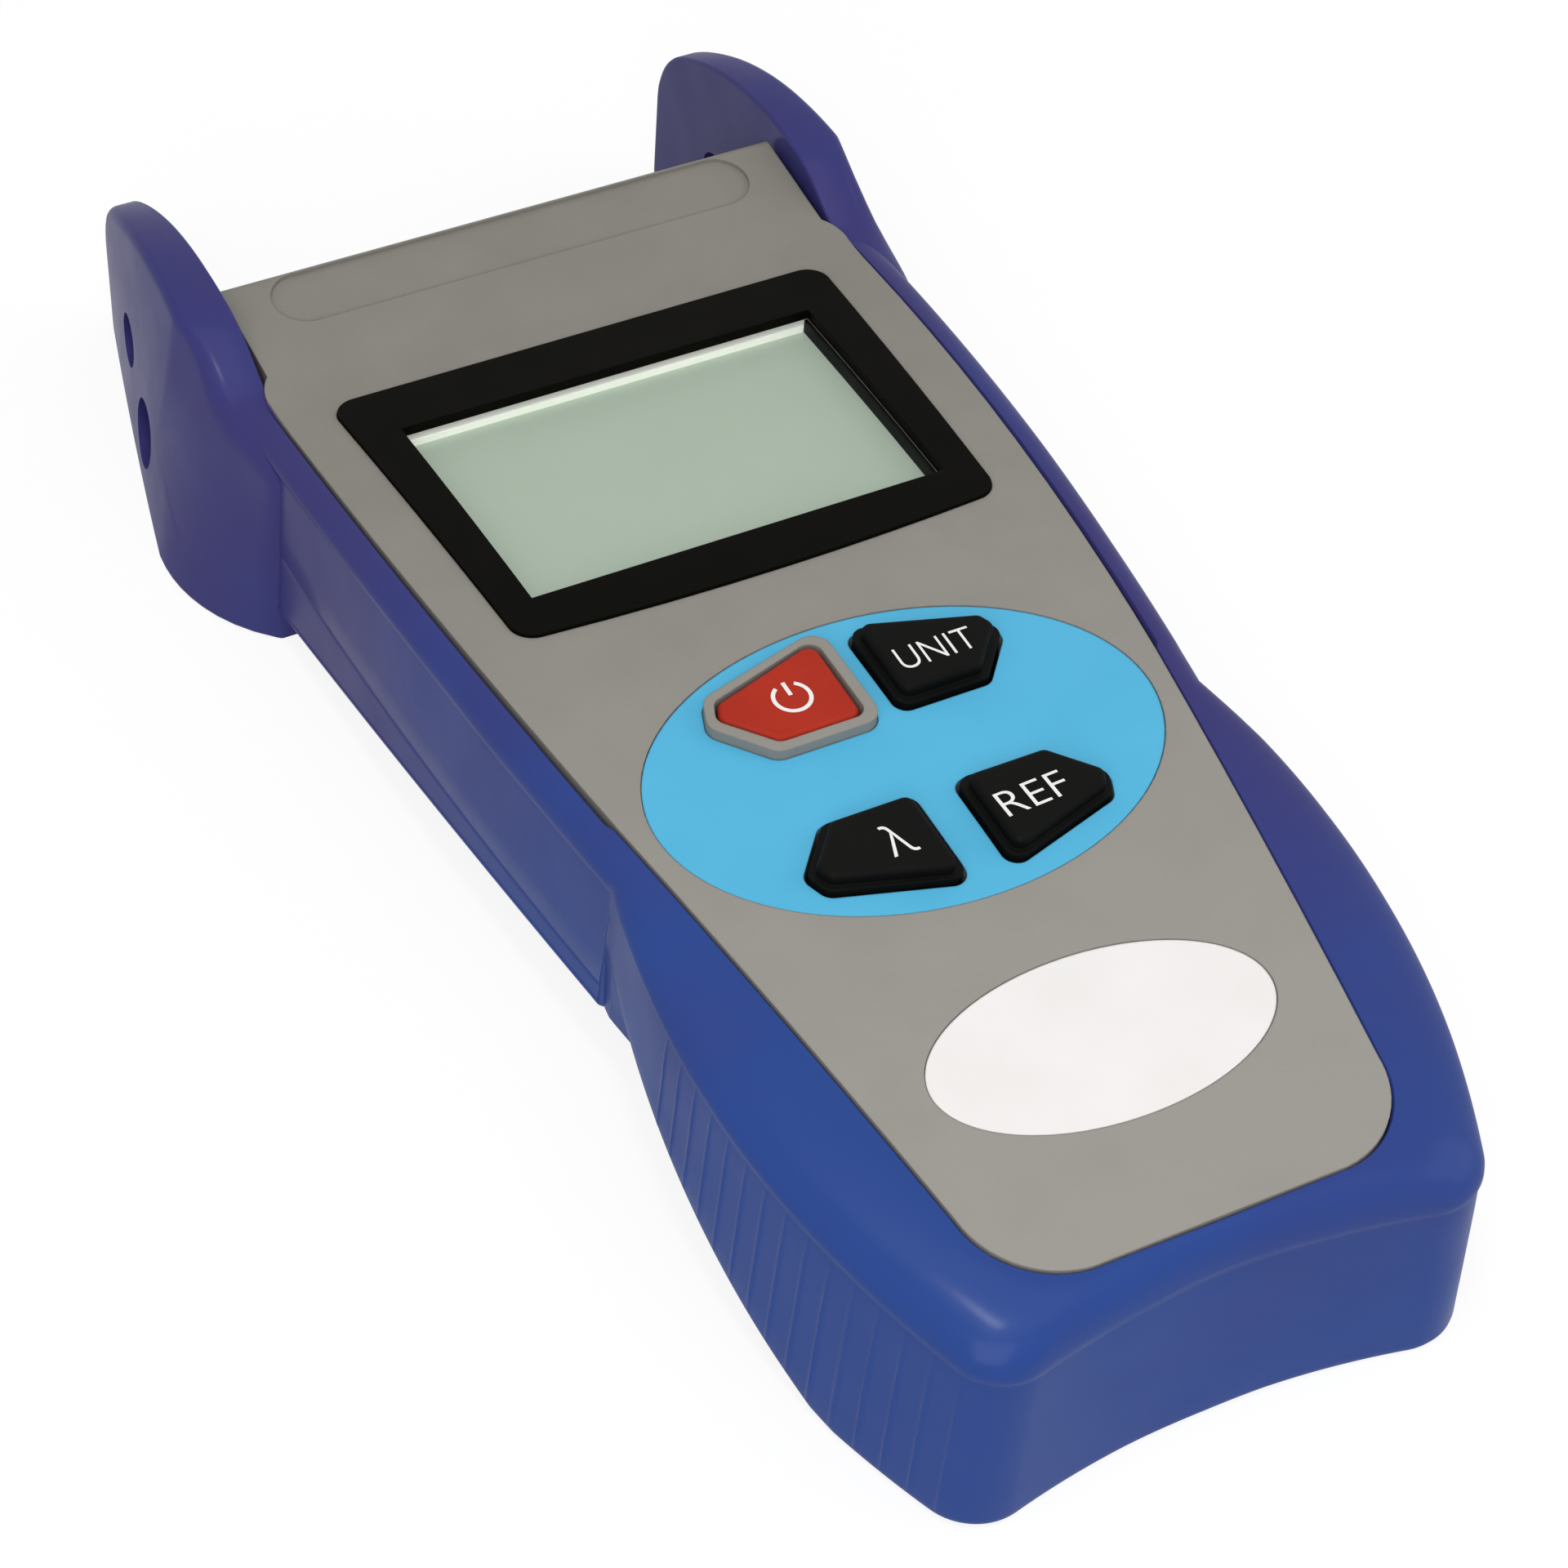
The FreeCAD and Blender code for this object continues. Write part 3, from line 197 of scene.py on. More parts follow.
# Painted shade: the rubber darkens and turns violet from the foot towards the head, and more so on the right
# side.
RUBBER = (Shader("blue_rubber", Specular_IOR_Level=0.04, Coat_Weight=0.18, Coat_Roughness=0.2)
          .shade_drift(srgb(41, 70, 141), srgb(57, 54, 113), -64.0, -6.0, 30.0, skew=0.8)
          .roughness(0.42, 0.54, 8.0).bump(0.5, 0.010).bump(6.0, 0.02).mat)

LOOKS = {
    "front_shell": GREY, "rear_shell": GREY, "battery_door": GREY, "rubber_boot": RUBBER,
    "display_bezel": BLACK_FRAME, "display_window": PANE, "display_frame": GLOWING_WHITE_CARRIER,
    "lcd_panel": GLOWING_LCD, "backlight": GLOWING_WHITE_CARRIER, "keypad_overlay": LIGHT_BLUE, "power_key": RED,
    "unit_key": BLACK_KEY, "wavelength_key": BLACK_KEY, "reference_key": BLACK_KEY,
    "key_switches": STEEL, "key_board": CIRCUIT, "main_board": CIRCUIT, "key_board_screws": STEEL,
    "main_board_screws": STEEL, "oval_label": WHITE_LABEL, "housing_screws": STEEL,
    "optical_port": NICKEL, "photodiode": STEEL, "port_cap": DARK_PLASTIC,
    "power_socket": DARK_PLASTIC, "battery_1": CELL, "battery_2": CELL, "battery_3": CELL,
    "contact_plates": STEEL, "battery_springs": STEEL,
}


def dress():
    """Gives each CAD node its material."""
    for name, node in NODES.items():
        for slot in node.material_slots:
            slot.material = LOOKS[name]


# ------------------------------------------------------------------ meshes
def mesh_object(name, vertices, faces, mat, smooth=True):
    """An object from millimetre vertices, with its faces turned outwards."""
    mesh = bpy.data.meshes.new(name)
    mesh.from_pydata([tuple(float(c) * MM for c in v) for v in vertices], [], faces)
    work = bmesh.new()
    work.from_mesh(mesh)
    bmesh.ops.remove_doubles(work, verts=work.verts, dist=1e-6)
    bmesh.ops.recalc_face_normals(work, faces=work.faces)
    work.to_mesh(mesh)
    work.free()
    for polygon in mesh.polygons:
        polygon.use_smooth = smooth
    mesh.materials.append(mat)
    obj = bpy.data.objects.new(name, mesh)
    bpy.context.scene.collection.objects.link(obj)
    return obj


def smooth_by_angle(obj, degrees):
    """Keeps the edges that turn by more than the angle sharp."""
    work = bmesh.new()
    work.from_mesh(obj.data)
    for edge in work.edges:
        edge.smooth = len(edge.link_faces) < 2 or edge.calc_face_angle(0) < math.radians(degrees)
    work.to_mesh(obj.data)
    work.free()


def arc(start, end, radius, side, steps):
    """Points on the short arc from start to end; side 1 puts the centre on its left, -1 right."""
    start, end = np.array(start, float), np.array(end, float)
    chord = end - start
    length = np.hypot(*chord)
    left = np.array((-chord[1], chord[0])) / length
    centre = (start + end) / 2 + side * left * math.sqrt(max(radius ** 2 - length ** 2 / 4, 0))
    a, b = (math.atan2(*(p - centre)[::-1]) for p in (start, end))
    turn = (b - a + math.pi) % (2 * math.pi) - math.pi
    angles = a + turn * np.linspace(0, 1, steps + 1)
    return centre + radius * np.stack((np.cos(angles), np.sin(angles)), 1)


def along(points, fractions):
    """Points at fractions of a polyline's length."""
    points = np.asarray(points, float)
    run = np.concatenate(([0], np.cumsum(np.hypot(*np.diff(points, axis=0).T))))
    return np.stack([np.interp(np.asarray(fractions) * run[-1], run, points[:, i]) for i in (0, 1)], 1)


def skin_rings(rings):
    """Faces between equal closed rings, with a flat face at each end."""
    count, size = len(rings), len(rings[0])
    faces = []
    for i in range(count - 1):
        for k in range(size):
            n = (k + 1) % size
            faces.append((i * size + k, i * size + n, (i + 1) * size + n, (i + 1) * size + k))
    faces.append(tuple(range(size)))
    faces.append(tuple((count - 1) * size + k for k in range(size)))
    return faces


def ringed(name, rings, mat, smooth=True):
    """A closed piece skinned over rings."""
    return mesh_object(name, [v for ring in rings for v in ring], skin_rings(rings), mat, smooth)


# ------------------------------------------------------------------ holster
# SLIP is the gap round the housing, RIM_DROP how far the rim lies under the face, WALL the rubber's width.
# LIP is the width of the rim's inner edge, from which its convex band starts.
SLIP, RIM_DROP, WALL, LIP = 0.1, 0.15, 3.6, 0.25
# The sides run plain to KINK_Y, flare to FOOT_SIDE, bend round FOOT_TURN to FOOT_CORNER, and the notch
# between the corners reaches NOTCH_Y. The radii are those of the arcs in the same order.
KINK_Y, FOOT_SIDE, FOOT_TURN, FOOT_CORNER, NOTCH_Y = -29.5, (30.8, -79.8), (27.8, -87.8), (21.0, -91.4), -89.1
FLARE_RADIUS, TURN_RADIUS, CORNER_RADIUS, NOTCH_RADIUS = 90.0, 106.0, 5.9, 92.5
# The housing inside the holster: half-widths at its tail, waist, sides, which bow a little, and neck.
TAIL_Y, TAIL_HALF, WAIST_Y, WAIST_HALF, SIDE_HALF, SIDE_BOW = -77.0, 21.9, -25.0, 29.2, 33.9, 1200
NECK_Y, NECK_HALF = 51, 32.6
TAIL_ARC = arc((TAIL_HALF, TAIL_Y), (13.0, -86.0), 9.6, -1, 12)
# How far the crease under the rim band lies below the face, along Y.
CREASE_DROP = np.array([(-92, 4.4), (-88, 4.3), (-76, 4.0), (-60, 3.8), (-49, 3.4), (-38, 2.7), (-26, 2.7),
                        (-9, 2.6), (7, 2.1), (25, 1.85), (41, 1.6), (60, 1.6)], float)
# Lower edges of the wall: FLARE_EDGE is (places along Y, heights), the plain edge drops as a parabola.
FLARE_EDGE = ((-77, -74, -71, -28.5), (0, 0.5, 1.7, 17.9))
PLAIN_EDGE_Z, PLAIN_EDGE_BOW = 8.4, 896
# Thin ribs across the flare, with extra sections RIB_STEPS away from each.
RIB_START, RIB_PITCH, RIB_COUNT, RIB_HEIGHT, RIB_WIDTH = -46.6, 3.0, 15, 0.2, 0.2
RIB_STEPS = (-0.45, -0.28, -0.12, 0.12, 0.28, 0.45)
RIBS = [RIB_START - RIB_PITCH * i for i in range(RIB_COUNT)]
# The mould line's height and step, the draft at the wall's top and foot, and the crease's undercut.
MOULD_Z, MOULD_STEP, DRAFT_TOP, DRAFT_FOOT, UNDERCUT = 11.6, 0.05, 0.5, 0.5, 0.25
# The sections lie square to the length as far as SQUARE_END, then turn round the corner to the notch.
SQUARE_END, ARC_STEPS, CORNER_SECTIONS, NOTCH_STEPS = -72, 24, 110, 30


def flare_edge(y):
    """Height of the flared part's lower edge."""
    return float(np.interp(y, *FLARE_EDGE))


def wall_edge(y):
    """Height of the plain wall's lower edge."""
    return PLAIN_EDGE_Z - max(y - KINK_Y, 0) ** 2 / PLAIN_EDGE_BOW


def housing_half(y):
    """Half-width of the housing."""
    if y > SHOULDER_Y:
        return float(np.interp(y, (SHOULDER_Y, NECK_Y), (SIDE_HALF, NECK_HALF)))
    if y > WAIST_Y:
        return SIDE_HALF - (SHOULDER_Y - y) ** 2 / SIDE_BOW
    return float(np.interp(y, (TAIL_Y, WAIST_Y), (TAIL_HALF, WAIST_HALF)))


def wall_half(y):
    """Half-width of the plain wall outside."""
    return SIDE_HALF + WALL - (SHOULDER_Y - y) ** 2 / SIDE_BOW


def rim_stations():
    """Plan points from the right ear round the foot to its middle: inner, outer, and whether it flares."""
    stations = [((housing_half(y) + SLIP, y), (wall_half(y), y), False)
                for y in np.arange(SHOULDER_Y, KINK_Y, -1.0)]
    flare = arc((wall_half(KINK_Y), KINK_Y), FOOT_SIDE, FLARE_RADIUS, -1, 400)
    turn = arc(FOOT_SIDE, FOOT_TURN, TURN_RADIUS, -1, ARC_STEPS)
    corner = arc(FOOT_TURN, FOOT_CORNER, CORNER_RADIUS, -1, ARC_STEPS)
    steps = set(np.round(np.arange(KINK_Y, SQUARE_END, -0.75), 3))
    steps |= {round(rib + gap, 3) for rib in RIBS for gap in RIB_STEPS if rib > SQUARE_END}
    for y in sorted(steps, reverse=True):
        outer = float(np.interp(-y, -flare[:, 1], flare[:, 0]))
        stations.append(((housing_half(y) + SLIP, y), (outer, y), True))
    outer = np.vstack((flare[flare[:, 1] < SQUARE_END], turn[1:], corner[1:]))
    inner = np.vstack(([(housing_half(SQUARE_END) + SLIP, SQUARE_END)],
                       TAIL_ARC + (SLIP * 0.7, -SLIP * 0.7)))
    fractions = np.linspace(0, 1, CORNER_SECTIONS)
    stations += [(tuple(i), tuple(o), True) for i, o in zip(along(inner, fractions), along(outer, fractions))]
    notch = arc(FOOT_CORNER, (0, NOTCH_Y), NOTCH_RADIUS, 1, NOTCH_STEPS)
    last = inner[-1]
    stations += [((last[0] * (1 - i / NOTCH_STEPS), last[1]), tuple(notch[i]), True)
                 for i in range(1, NOTCH_STEPS + 1)]
    return stations


def rib_height(y):
    """How far the ribs stand out at a place along Y."""
    return RIB_HEIGHT * sum(math.exp(-((y - rib) / RIB_WIDTH) ** 2) for rib in RIBS)


def rim_section(inside, outside, flared):
    """One closed ring of the wall: lip, convex rim band, crease, outer wall, ledge and underside."""
    inside, outside = np.array(inside), np.array(outside)
    width = np.hypot(*(outside - inside))
    out = (outside - inside) / width
    width -= DRAFT_TOP
    top = face(min(inside[1], SHOULDER_Y)) - RIM_DROP
    crease = face(min(outside[1], SHOULDER_Y)) - float(np.interp(outside[1], *CREASE_DROP.T))
    edge = flare_edge(outside[1]) if flared else wall_edge(outside[1])
    bottom = min(edge, wall_edge(outside[1]))
    ring = [(0.0, bottom), (0.0, top - 0.8), (0.05, top - 0.3), (LIP, top - 0.03)]
    for step in range(1, 13):
        angle = math.radians(7.5 * step)
        ring.append((LIP + (width - LIP) * math.sin(angle), top - (top - crease) * (1 - math.cos(angle))))
    ring += [(width - 0.1, crease - 0.2), (width - UNDERCUT, crease - 0.5)]
    high, low = crease - 0.9, edge + 1.0
    if flared:
        rib = rib_height(outside[1])
        levels = [(high + (low - high) * share, -rib * fade)
                  for share, fade in zip(np.linspace(0, 1, 8), (0, 0.8, 1, 1, 1, 1, 1, 0.6))]
    else:
        levels = [(high, 0), (15.0, 0), (MOULD_Z + 0.3, 0), (MOULD_Z, 0.14), (MOULD_Z - 0.3, MOULD_STEP),
                  (MOULD_Z - 0.6, MOULD_STEP), (min(9.6, low + 1), MOULD_STEP), (low, MOULD_STEP)]
    slope = (DRAFT_TOP + DRAFT_FOOT) / (crease - 2)
    ring += [(width - UNDERCUT + slope * (crease - z) - step, z) for z, step in levels]
    plain = wall_half(outside[1]) - housing_half(outside[1]) - SLIP - DRAFT_TOP - UNDERCUT
    wall = width - UNDERCUT + slope * (crease - edge)
    under = min(wall, plain + slope * (crease - edge)) if flared else wall
    turn = min(max(wall - under, 0) / 0.6, 1)
    lip = edge if flared else edge + 0.7
    foot = under + slope * (edge - bottom) * turn
    ring += [(wall - 0.1 * turn, lip + 0.2 + 0.3 * turn), (wall - 0.4 * turn, lip + 0.1), (under, lip),
             (foot - 0.05, bottom + 0.5), (foot - 0.3, bottom + 0.12), (foot - 0.6, bottom)]
    return [tuple(inside + out * h) + (z,) for h, z in ring]


def boot_wall():
    """The holster's wall, from one ear round the foot to the other."""
    right = [rim_section(*station) for station in rim_stations()]
    left = [[(-x, y, z) for x, y, z in ring] for ring in reversed(right[:-1])]
    rings = right + left
    wall = ringed("holster_wall", rings, RUBBER)
    smooth_by_angle(wall, 40)
    return wall


# Ends of the ear along Y, the height of its upper plan and the half-width inside it.
EAR_BACK, EAR_FRONT, EAR_TOP_Z, EAR_INNER = 37.0, 91.4, 28.1, 33.3
# Plan of the ear at its base and at EAR_TOP_Z, joined by straight rules.
EAR_BASE = np.vstack((arc((37.8, EAR_BACK), (44.7, 53.6), 18.5, 1, 24),
                      arc((44.7, 53.6), (35.0, 92.4), 900.0, 1, 24)))
EAR_TOP = np.vstack((arc((37.0, EAR_BACK), (39.0, 60.0), 90.0, -1, 24),
                     arc((39.0, 60.0), (35.7, 92.4), 400.0, 1, 24)))
# The first BASE_POINTS of the ear's outline lie along its base, and those from ROUNDED[0] to ROUNDED[1]
# are smoothed ROUNDS times. Behind the shoulder it lies BACK_DROP under the rim.
BASE_POINTS, ROUNDED, ROUNDS, BACK_DROP = 30, (44, 118), 6, 0.15


def ear_skin(y, z):
    """Half-width of the ear's outer surface."""
    halves = [float(np.interp(y, curve[:, 1], curve[:, 0])) for curve in (EAR_BASE, EAR_TOP)]
    return halves[0] + (halves[1] - halves[0]) * z / EAR_TOP_Z


def ear_outline():
    """Side view of the ear in (y, z), starting at the base's back corner."""
    rim = face(SHOULDER_Y) - RIM_DROP
    base = [(EAR_BACK + (EAR_FRONT - EAR_BACK) * i / BASE_POINTS, 0) for i in range(BASE_POINTS)]
    front = [(EAR_FRONT, z) for z in np.linspace(0, 12.0, 12)]
    brow = arc((EAR_FRONT, 12.0), (85.5, 21.4), 11.0, 1, 16)[1:]
    crown = arc((85.5, 21.4), (60.5, 27.3), 41.0, 1, 30)[1:]
    root = arc((60.5, 27.3), (52.5, 24.6), 16.0, 1, 12)[1:]
    sweep = arc((52.5, 24.6), (SHOULDER_Y, rim), 10.0, -1, 10)[1:]
    back = [(SHOULDER_Y - (SHOULDER_Y - EAR_BACK) * i / 8, rim - BACK_DROP) for i in range(1, 9)]
    rise = [(EAR_BACK, rim * (1 - i / 14)) for i in range(1, 14)]
    points = np.array(base + front + list(brow) + list(crown) + list(root) + list(sweep) + back + rise)
    return relax(points, *ROUNDED, ROUNDS)


def relax(points, first, last, rounds):
    """Rounds the corners of part of an outline."""
    for _ in range(rounds):
        moved = (np.roll(points, 1, 0) + np.roll(points, -1, 0) + 2 * points) / 4
        points[first:last] = moved[first:last]
    return points


def edge_distance(point, outline):
    """Distance from a point to an outline, and the number of the side it is nearest to."""
    ends = np.roll(outline, -1, 0)
    way = ends - outline
    share = np.clip(((point - outline) * way).sum(1) / np.maximum((way ** 2).sum(1), 1e-9), 0, 1)
    gaps = np.hypot(*(outline + way * share[:, None] - point).T)
    return gaps.min(), int(gaps.argmin())


def rounding(distance, depth, width):
    """How far an elliptical edge, depth down the face and width across, has drawn in at a distance."""
    if distance >= depth:
        return 0.0
    return width * (1 - math.sqrt(max(1 - (1 - distance / depth) ** 2, 0)))


def ear_inner(y):
    """Half-width of the ear's inner surface."""
    return EAR_INNER - 0.4 * float(np.interp(y, (65, 91), (0, 1)))


# The ear's two skins are rings of its outline, drawn in to a hub. Eyelets are ((y, z), radius), cut by
# cylinders EAR_CUT long about the ear's middle.
EAR_HUB = np.array((62.0, 10.0))
EAR_RINGS = (0.0, 0.2, 0.4, 0.55, 0.68, 0.78, 0.85, 0.9, 0.93, 0.95, 0.965, 0.98, 0.99, 0.997, 1.0)
EYELETS = (((76.5, 10.5), 3.0), ((66.5, 6.0), 3.8))
EAR_MIDDLE, EAR_CUT = 39.0, 30.0
# Roundings of the ear's edges, and what the band at its root adds to them, fading out at BAND_END.
BASE_EDGE, SKIN_EDGE, INNER_EDGE = 0.5, 1.1, 0.35
BAND_END, BAND_DEPTH, BAND_WIDTH = 58, 0.7, 1.5


def ear(side):
    """One ear, with softer edges along its top and at its root; side is 1 for the right one."""
    outline = ear_outline()
    layers = []
    for outer in (True, False):
        for share in (EAR_RINGS if outer else EAR_RINGS[::-1]):
            ring = []
            for point in EAR_HUB + share * (outline - EAR_HUB):
                gap, nearest = edge_distance(point, outline)
                skin, inner = ear_skin(*point), ear_inner(point[0])
                if outer:
                    at_base = nearest < BASE_POINTS
                    band = 0.0 if at_base else float(np.interp(point[0], (SHOULDER_Y, BAND_END), (1, 0)))
                    edge = BASE_EDGE if at_base else SKIN_EDGE
                    x = skin - rounding(gap, edge + BAND_DEPTH * band, edge + BAND_WIDTH * band)
                else:
                    x = inner + rounding(gap, INNER_EDGE, INNER_EDGE)
                ring.append((side * x, point[0], point[1]))
            layers.append(ring)
    piece = ringed("ear_right" if side > 0 else "ear_left", layers, RUBBER)
    for (y, z), radius in EYELETS:
        pierce(piece, (side * EAR_MIDDLE * MM, y * MM, z * MM), radius * MM)
    smooth_by_angle(piece, 50)
    return piece


def pierce(piece, place, radius):
    """Cuts a round hole across an ear."""
    bpy.ops.mesh.primitive_cylinder_add(vertices=64, radius=radius, depth=EAR_CUT * MM, location=place,
                                        rotation=(0, math.pi / 2, 0))
    tool = bpy.context.object
    cutter = piece.modifiers.new("hole", "BOOLEAN")
    cutter.operation, cutter.object, cutter.solver = "DIFFERENCE", tool, "EXACT"
    graph = bpy.context.evaluated_depsgraph_get()
    holed = bpy.data.meshes.new_from_object(piece.evaluated_get(graph))
    piece.modifiers.clear()
    piece.data = holed
    bpy.data.objects.remove(tool)


# The holster's floor: its two strips along Y, its top and its half-width at the foot's end.
HEAD_PAD, FOOT_PAD, PAD_TOP, PAD_END_HALF = (37.0, 63.0), (-72.0, -86.5), 2.7, 14.0


def floor_pad(name, start, end):
    """A strip of the holster's floor between two places along its length."""
    rings = []
    for y in np.linspace(start, end, 24):
        half = housing_half(y) + SLIP + 0.8 if y > -76 else PAD_END_HALF + (y - FOOT_PAD[1]) * 0.9
        low = min(flare_edge(y), PAD_TOP - 0.1) if y < 0 else 0.0
        rings.append([(-half, y, PAD_TOP), (half, y, PAD_TOP), (half, y, low), (-half, y, low)])
    return ringed(name, rings, RUBBER, False)


def holster():
    """The rubber holster in five pieces, in place of the CAD's."""
    pieces = [boot_wall(), ear(1), ear(-1), floor_pad("floor_head", *HEAD_PAD),
              floor_pad("floor_foot", *FOOT_PAD)]
    for piece in pieces:
        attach(piece, "meter")
        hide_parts("rubber_boot")


# ------------------------------------------------------------------ display
# The window's clear part along Y and the tail seal's half-length; tops and feet are drops below the face.
VIEW_TAIL, VIEW_HEAD, TAIL_SEAL_HALF = 6.7, 37.1, 22.7
SEAL_WIDTH, SEAL_TOP, SEAL_FOOT = 0.35, 0.9, 2.7
MODULE_TOP, MODULE_FOOT = 2.6, 5.6


def view_half(y):
    """Half-width of the window's clear part."""
    return float(np.interp(y, (VIEW_TAIL, VIEW_HEAD), (23.1, 23.6)))


def strip(name, starts, ends, top, bottom, mat, slot):
    """A bar under the face between two lines of plan points, with its top and bottom at given drops."""
    rings = []
    for (x0, y0), (x1, y1) in zip(starts, ends):
        rings.append([(x0, y0, face(y0) - bottom), (x1, y1, face(y1) - bottom),
                      (x1, y1, face(y1) - top), (x0, y0, face(y0) - top)])
    piece = ringed(name, rings, mat, False)
    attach(piece, "meter")
    return piece


def display():
    """The liquid crystal module close under the window, with a dark seal on three of its sides."""
    rows = np.linspace(VIEW_TAIL, VIEW_HEAD, 13)
    module = strip("lcd_module", [(-view_half(y), y) for y in rows], [(view_half(y), y) for y in rows],
                   MODULE_TOP, MODULE_FOOT, GLOWING_LCD, "lcd")
    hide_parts("lcd_panel")
    seal = (SEAL_TOP, SEAL_FOOT, BLACK_KEY, "black_frame")
    for side, name in ((-1, "seal_left"), (1, "seal_right")):
        outer = [(side * view_half(y), y) for y in rows]
        strip(name, outer, [(x - side * SEAL_WIDTH, y) for x, y in outer], *seal)
    columns = np.linspace(-TAIL_SEAL_HALF, TAIL_SEAL_HALF, 5)
    strip("seal_tail", [(x, VIEW_TAIL) for x in columns],
          [(x, VIEW_TAIL + SEAL_WIDTH) for x in columns], *seal)


# ------------------------------------------------------------------ legends
# INK is the print's thickness, STROKE_TRIM how far the letters' outline is drawn in, and a rise is how far
# a key's top stands over the face at the keypad's middle.
INK, STROKE_TRIM, KEY_RISE, POWER_KEY_RISE = 0.03, 0.055, 1.8, 0.9


def flat_mesh(obj, name, mat):
    """A curve or text object turned into a mesh with its own name and material."""
    mesh = bpy.data.meshes.new_from_object(obj.evaluated_get(bpy.context.evaluated_depsgraph_get()))
    mesh.materials.clear()
    mesh.materials.append(mat)
    result = bpy.data.objects.new(name, mesh)
    result.matrix_world = obj.matrix_world.copy()
    bpy.context.scene.collection.objects.link(result)
    bpy.data.objects.remove(obj)
    return result


def legend(name, text, size, x, y, z, body, width=1.0, turn=0.0):
    """Printed text, centred at a place in millimetres; width squeezes it and turn is in degrees."""
    curve = bpy.data.curves.new(name, "FONT")
    curve.body, curve.size = text, size * MM
    curve.align_x, curve.align_y = "CENTER", "CENTER"
    curve.extrude = INK * MM
    curve.offset = -STROKE_TRIM * MM
    obj = bpy.data.objects.new(name + "_text", curve)
    bpy.context.scene.collection.objects.link(obj)
    obj.location = (x * MM, y * MM, z * MM)
    obj.scale.x = width
    obj.rotation_euler.z = math.radians(turn)
    bpy.context.view_layer.update()
    piece = flat_mesh(obj, name, LEGEND)
    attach(piece, body)
    return piece


def power_symbol(x, y, z, radius, width):
    """An open ring with a bar through the gap."""
    vertices, faces = [], []

    def ribbon(points):
        """A flat band along (place, normal) pairs."""
        start = len(vertices)
        for (px, py), (nx, ny) in points:
            for side in (-1, 1):
                for level in (0, INK):
                    vertices.append((x + px + side * nx * width / 2,
                                     y + py + side * ny * width / 2, z + level))
        for i in range(len(points) - 1):
            a = start + 4 * i
            for k, n in ((0, 1), (1, 3), (3, 2), (2, 0)):
                faces.append((a + k, a + n, a + 4 + n, a + 4 + k))
        for a in (start, start + 4 * (len(points) - 1)):
            faces.append((a, a + 1, a + 3, a + 2))

    gap = 32
    ring = [math.radians(90 + gap + (360 - 2 * gap) * i / 40) for i in range(41)]
    ribbon([((radius * math.cos(a), radius * math.sin(a)), (math.cos(a), math.sin(a))) for a in ring])
    ribbon([((0, radius * share), (1, 0)) for share in (0.15, 1.12)])
    symbol = mesh_object("power_symbol", vertices, faces, LEGEND, False)
    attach(symbol, "power_key_body")


def legends():
    """The white print on the four keys."""
    top = face(PAD_Y) + KEY_RISE
    legend("unit_legend", "UNIT", 4.4, 8.36, PAD_Y + 9.66, top, "unit_key_body", 0.84)
    legend("reference_legend", "REF", 4.7, 7.39, PAD_Y - 11.06, top, "reference_key_body", 1.06, 3.0)
    legend("wavelength_legend", "λ", 5.5, -6.93, PAD_Y - 11.1, top, "wavelength_key_body", 0.88)
    power_symbol(-6.9, PAD_Y + 10.35, face(PAD_Y) + POWER_KEY_RISE, 1.85, 0.42)


# ------------------------------------------------------------------ stage
# The floor's grey and the glow mixed into it where it is seen; the world's light, and how bright it looks.
FLOOR_GREY, FLOOR_GLOW, GLOW_SHARE = 0.9, 1.05, 0.82
WORLD_LIGHT, WORLD_SEEN = 0.3, 1.0


def seen_rays(tree):
    """1 for the rays that show the background: from the camera, and mirrored or passed on to it."""
    path = tree.nodes.new("ShaderNodeLightPath")
    total = path.outputs["Is Camera Ray"]
    for kind in ("Is Glossy Ray", "Is Transmission Ray"):
        add = tree.nodes.new("ShaderNodeMath")
        add.operation, add.use_clamp = "ADD", True
        tree.links.new(total, add.inputs[0])
        tree.links.new(path.outputs[kind], add.inputs[1])
        total = add.outputs[0]
    return total


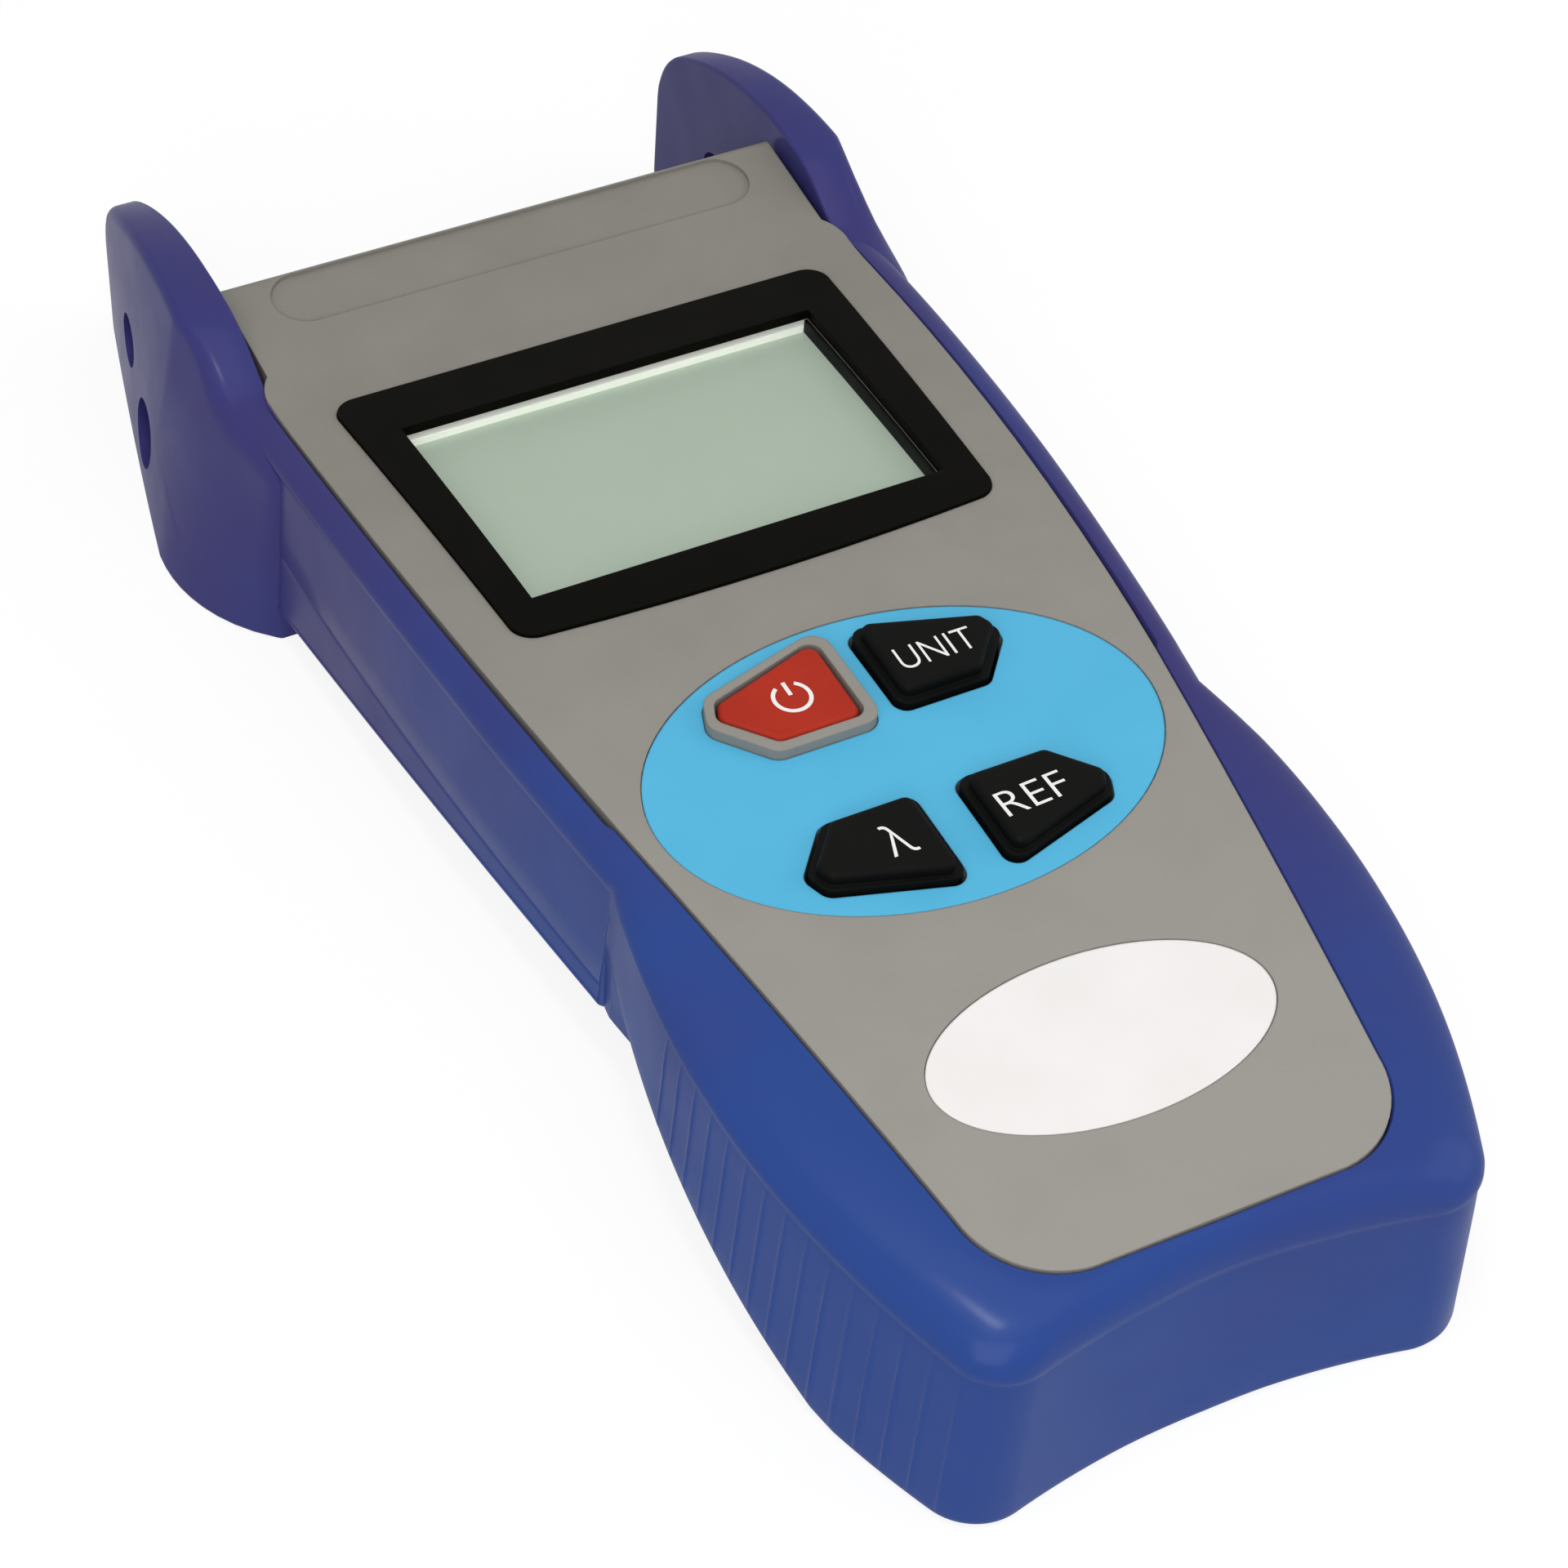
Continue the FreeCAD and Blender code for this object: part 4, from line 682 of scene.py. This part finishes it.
def stage():
    """A pale floor that keeps the shadow, and a world that looks white but lights softly."""
    bpy.ops.mesh.primitive_plane_add(size=6, location=(0, 0, -0.0002))
    ground = bpy.context.object
    ground.name = "ground"
    mat = bpy.data.materials.new("pale_ground")
    mat.use_nodes = True
    tree = mat.node_tree
    tree.nodes.clear()
    out = tree.nodes.new("ShaderNodeOutputMaterial")
    mix = tree.nodes.new("ShaderNodeMixShader")
    matte = tree.nodes.new("ShaderNodeBsdfDiffuse")
    matte.inputs["Color"].default_value = (FLOOR_GREY, FLOOR_GREY, FLOOR_GREY, 1)
    glow = tree.nodes.new("ShaderNodeEmission")
    share = tree.nodes.new("ShaderNodeMath")
    share.operation = "MULTIPLY"
    share.inputs[1].default_value = GLOW_SHARE
    glow.inputs["Strength"].default_value = FLOOR_GLOW
    tree.links.new(seen_rays(tree), share.inputs[0])
    tree.links.new(share.outputs[0], mix.inputs["Fac"])
    tree.links.new(matte.outputs[0], mix.inputs[1])
    tree.links.new(glow.outputs[0], mix.inputs[2])
    tree.links.new(mix.outputs[0], out.inputs["Surface"])
    ground.data.materials.append(mat)

    world = bpy.data.worlds.new("studio")
    bpy.context.scene.world = world
    world.use_nodes = True
    tree = world.node_tree
    back = tree.nodes["Background"]
    back.inputs["Color"].default_value = (1, 1, 1, 1)
    level = tree.nodes.new("ShaderNodeMapRange")
    level.inputs["To Min"].default_value = WORLD_LIGHT
    level.inputs["To Max"].default_value = WORLD_SEEN
    tree.links.new(seen_rays(tree), level.inputs["Value"])
    tree.links.new(level.outputs["Result"], back.inputs["Strength"])


def lamp(name, place, aim, size, power):
    """An area lamp in metres and watts."""
    light = bpy.data.lights.new(name, "AREA")
    light.shape = "RECTANGLE"
    light.size, light.size_y = size
    light.energy = power
    obj = bpy.data.objects.new(name, light)
    bpy.context.scene.collection.objects.link(obj)
    obj.location = place
    obj.rotation_euler = (Vector(aim) - Vector(place)).to_track_quat("-Z", "Y").to_euler()


def lights():
    """Three soft lamps and a small one."""
    lamp("key_light", (-0.55, -0.75, 0.75), (0, 0, 0), (0.8, 0.8), 5.7)
    lamp("fill_light", (0.8, -0.35, 0.5), (0, 0, 0), (0.7, 0.7), 1.9)
    lamp("top_light", (0.0, -0.1, 1.1), (0, 0, 0), (0.9, 0.9), 2.7)
    # A small bar lamp for the streak on the rubber at the foot's left corner.
    lamp("foot_light", (-0.09, -0.105, 0.5), (-0.02, -0.08, 0.02), (0.12, 0.04), 0.45)


# The camera's place in metres, its lens and sensor in millimetres, and the ways to its right and ahead.
CAMERA_PLACE, FOCAL_LENGTH, SENSOR_WIDTH = (-0.1545, -0.26216, 0.31802), 97.588, 36.0
CAMERA_RIGHT, CAMERA_VIEW = (0.886, -0.4597, 0.0602), (0.3553, 0.5898, -0.7252)


def camera():
    """A camera that looks down at the meter from its left and foot."""
    data = bpy.data.cameras.new("camera")
    data.sensor_width = SENSOR_WIDTH
    data.lens = FOCAL_LENGTH
    data.clip_start = 0.01
    obj = bpy.data.objects.new("camera", data)
    bpy.context.scene.collection.objects.link(obj)
    right = Vector(CAMERA_RIGHT).normalized()
    back = -Vector(CAMERA_VIEW).normalized()
    up = back.cross(right).normalized()
    right = up.cross(back)
    matrix = Matrix((right, up, back)).transposed().to_4x4()
    matrix.translation = Vector(CAMERA_PLACE)
    obj.matrix_world = matrix
    bpy.context.scene.camera = obj


dress()
holster()
display()
legends()
stage()
lights()
camera()
bpy.context.scene.view_settings.view_transform = "Standard"
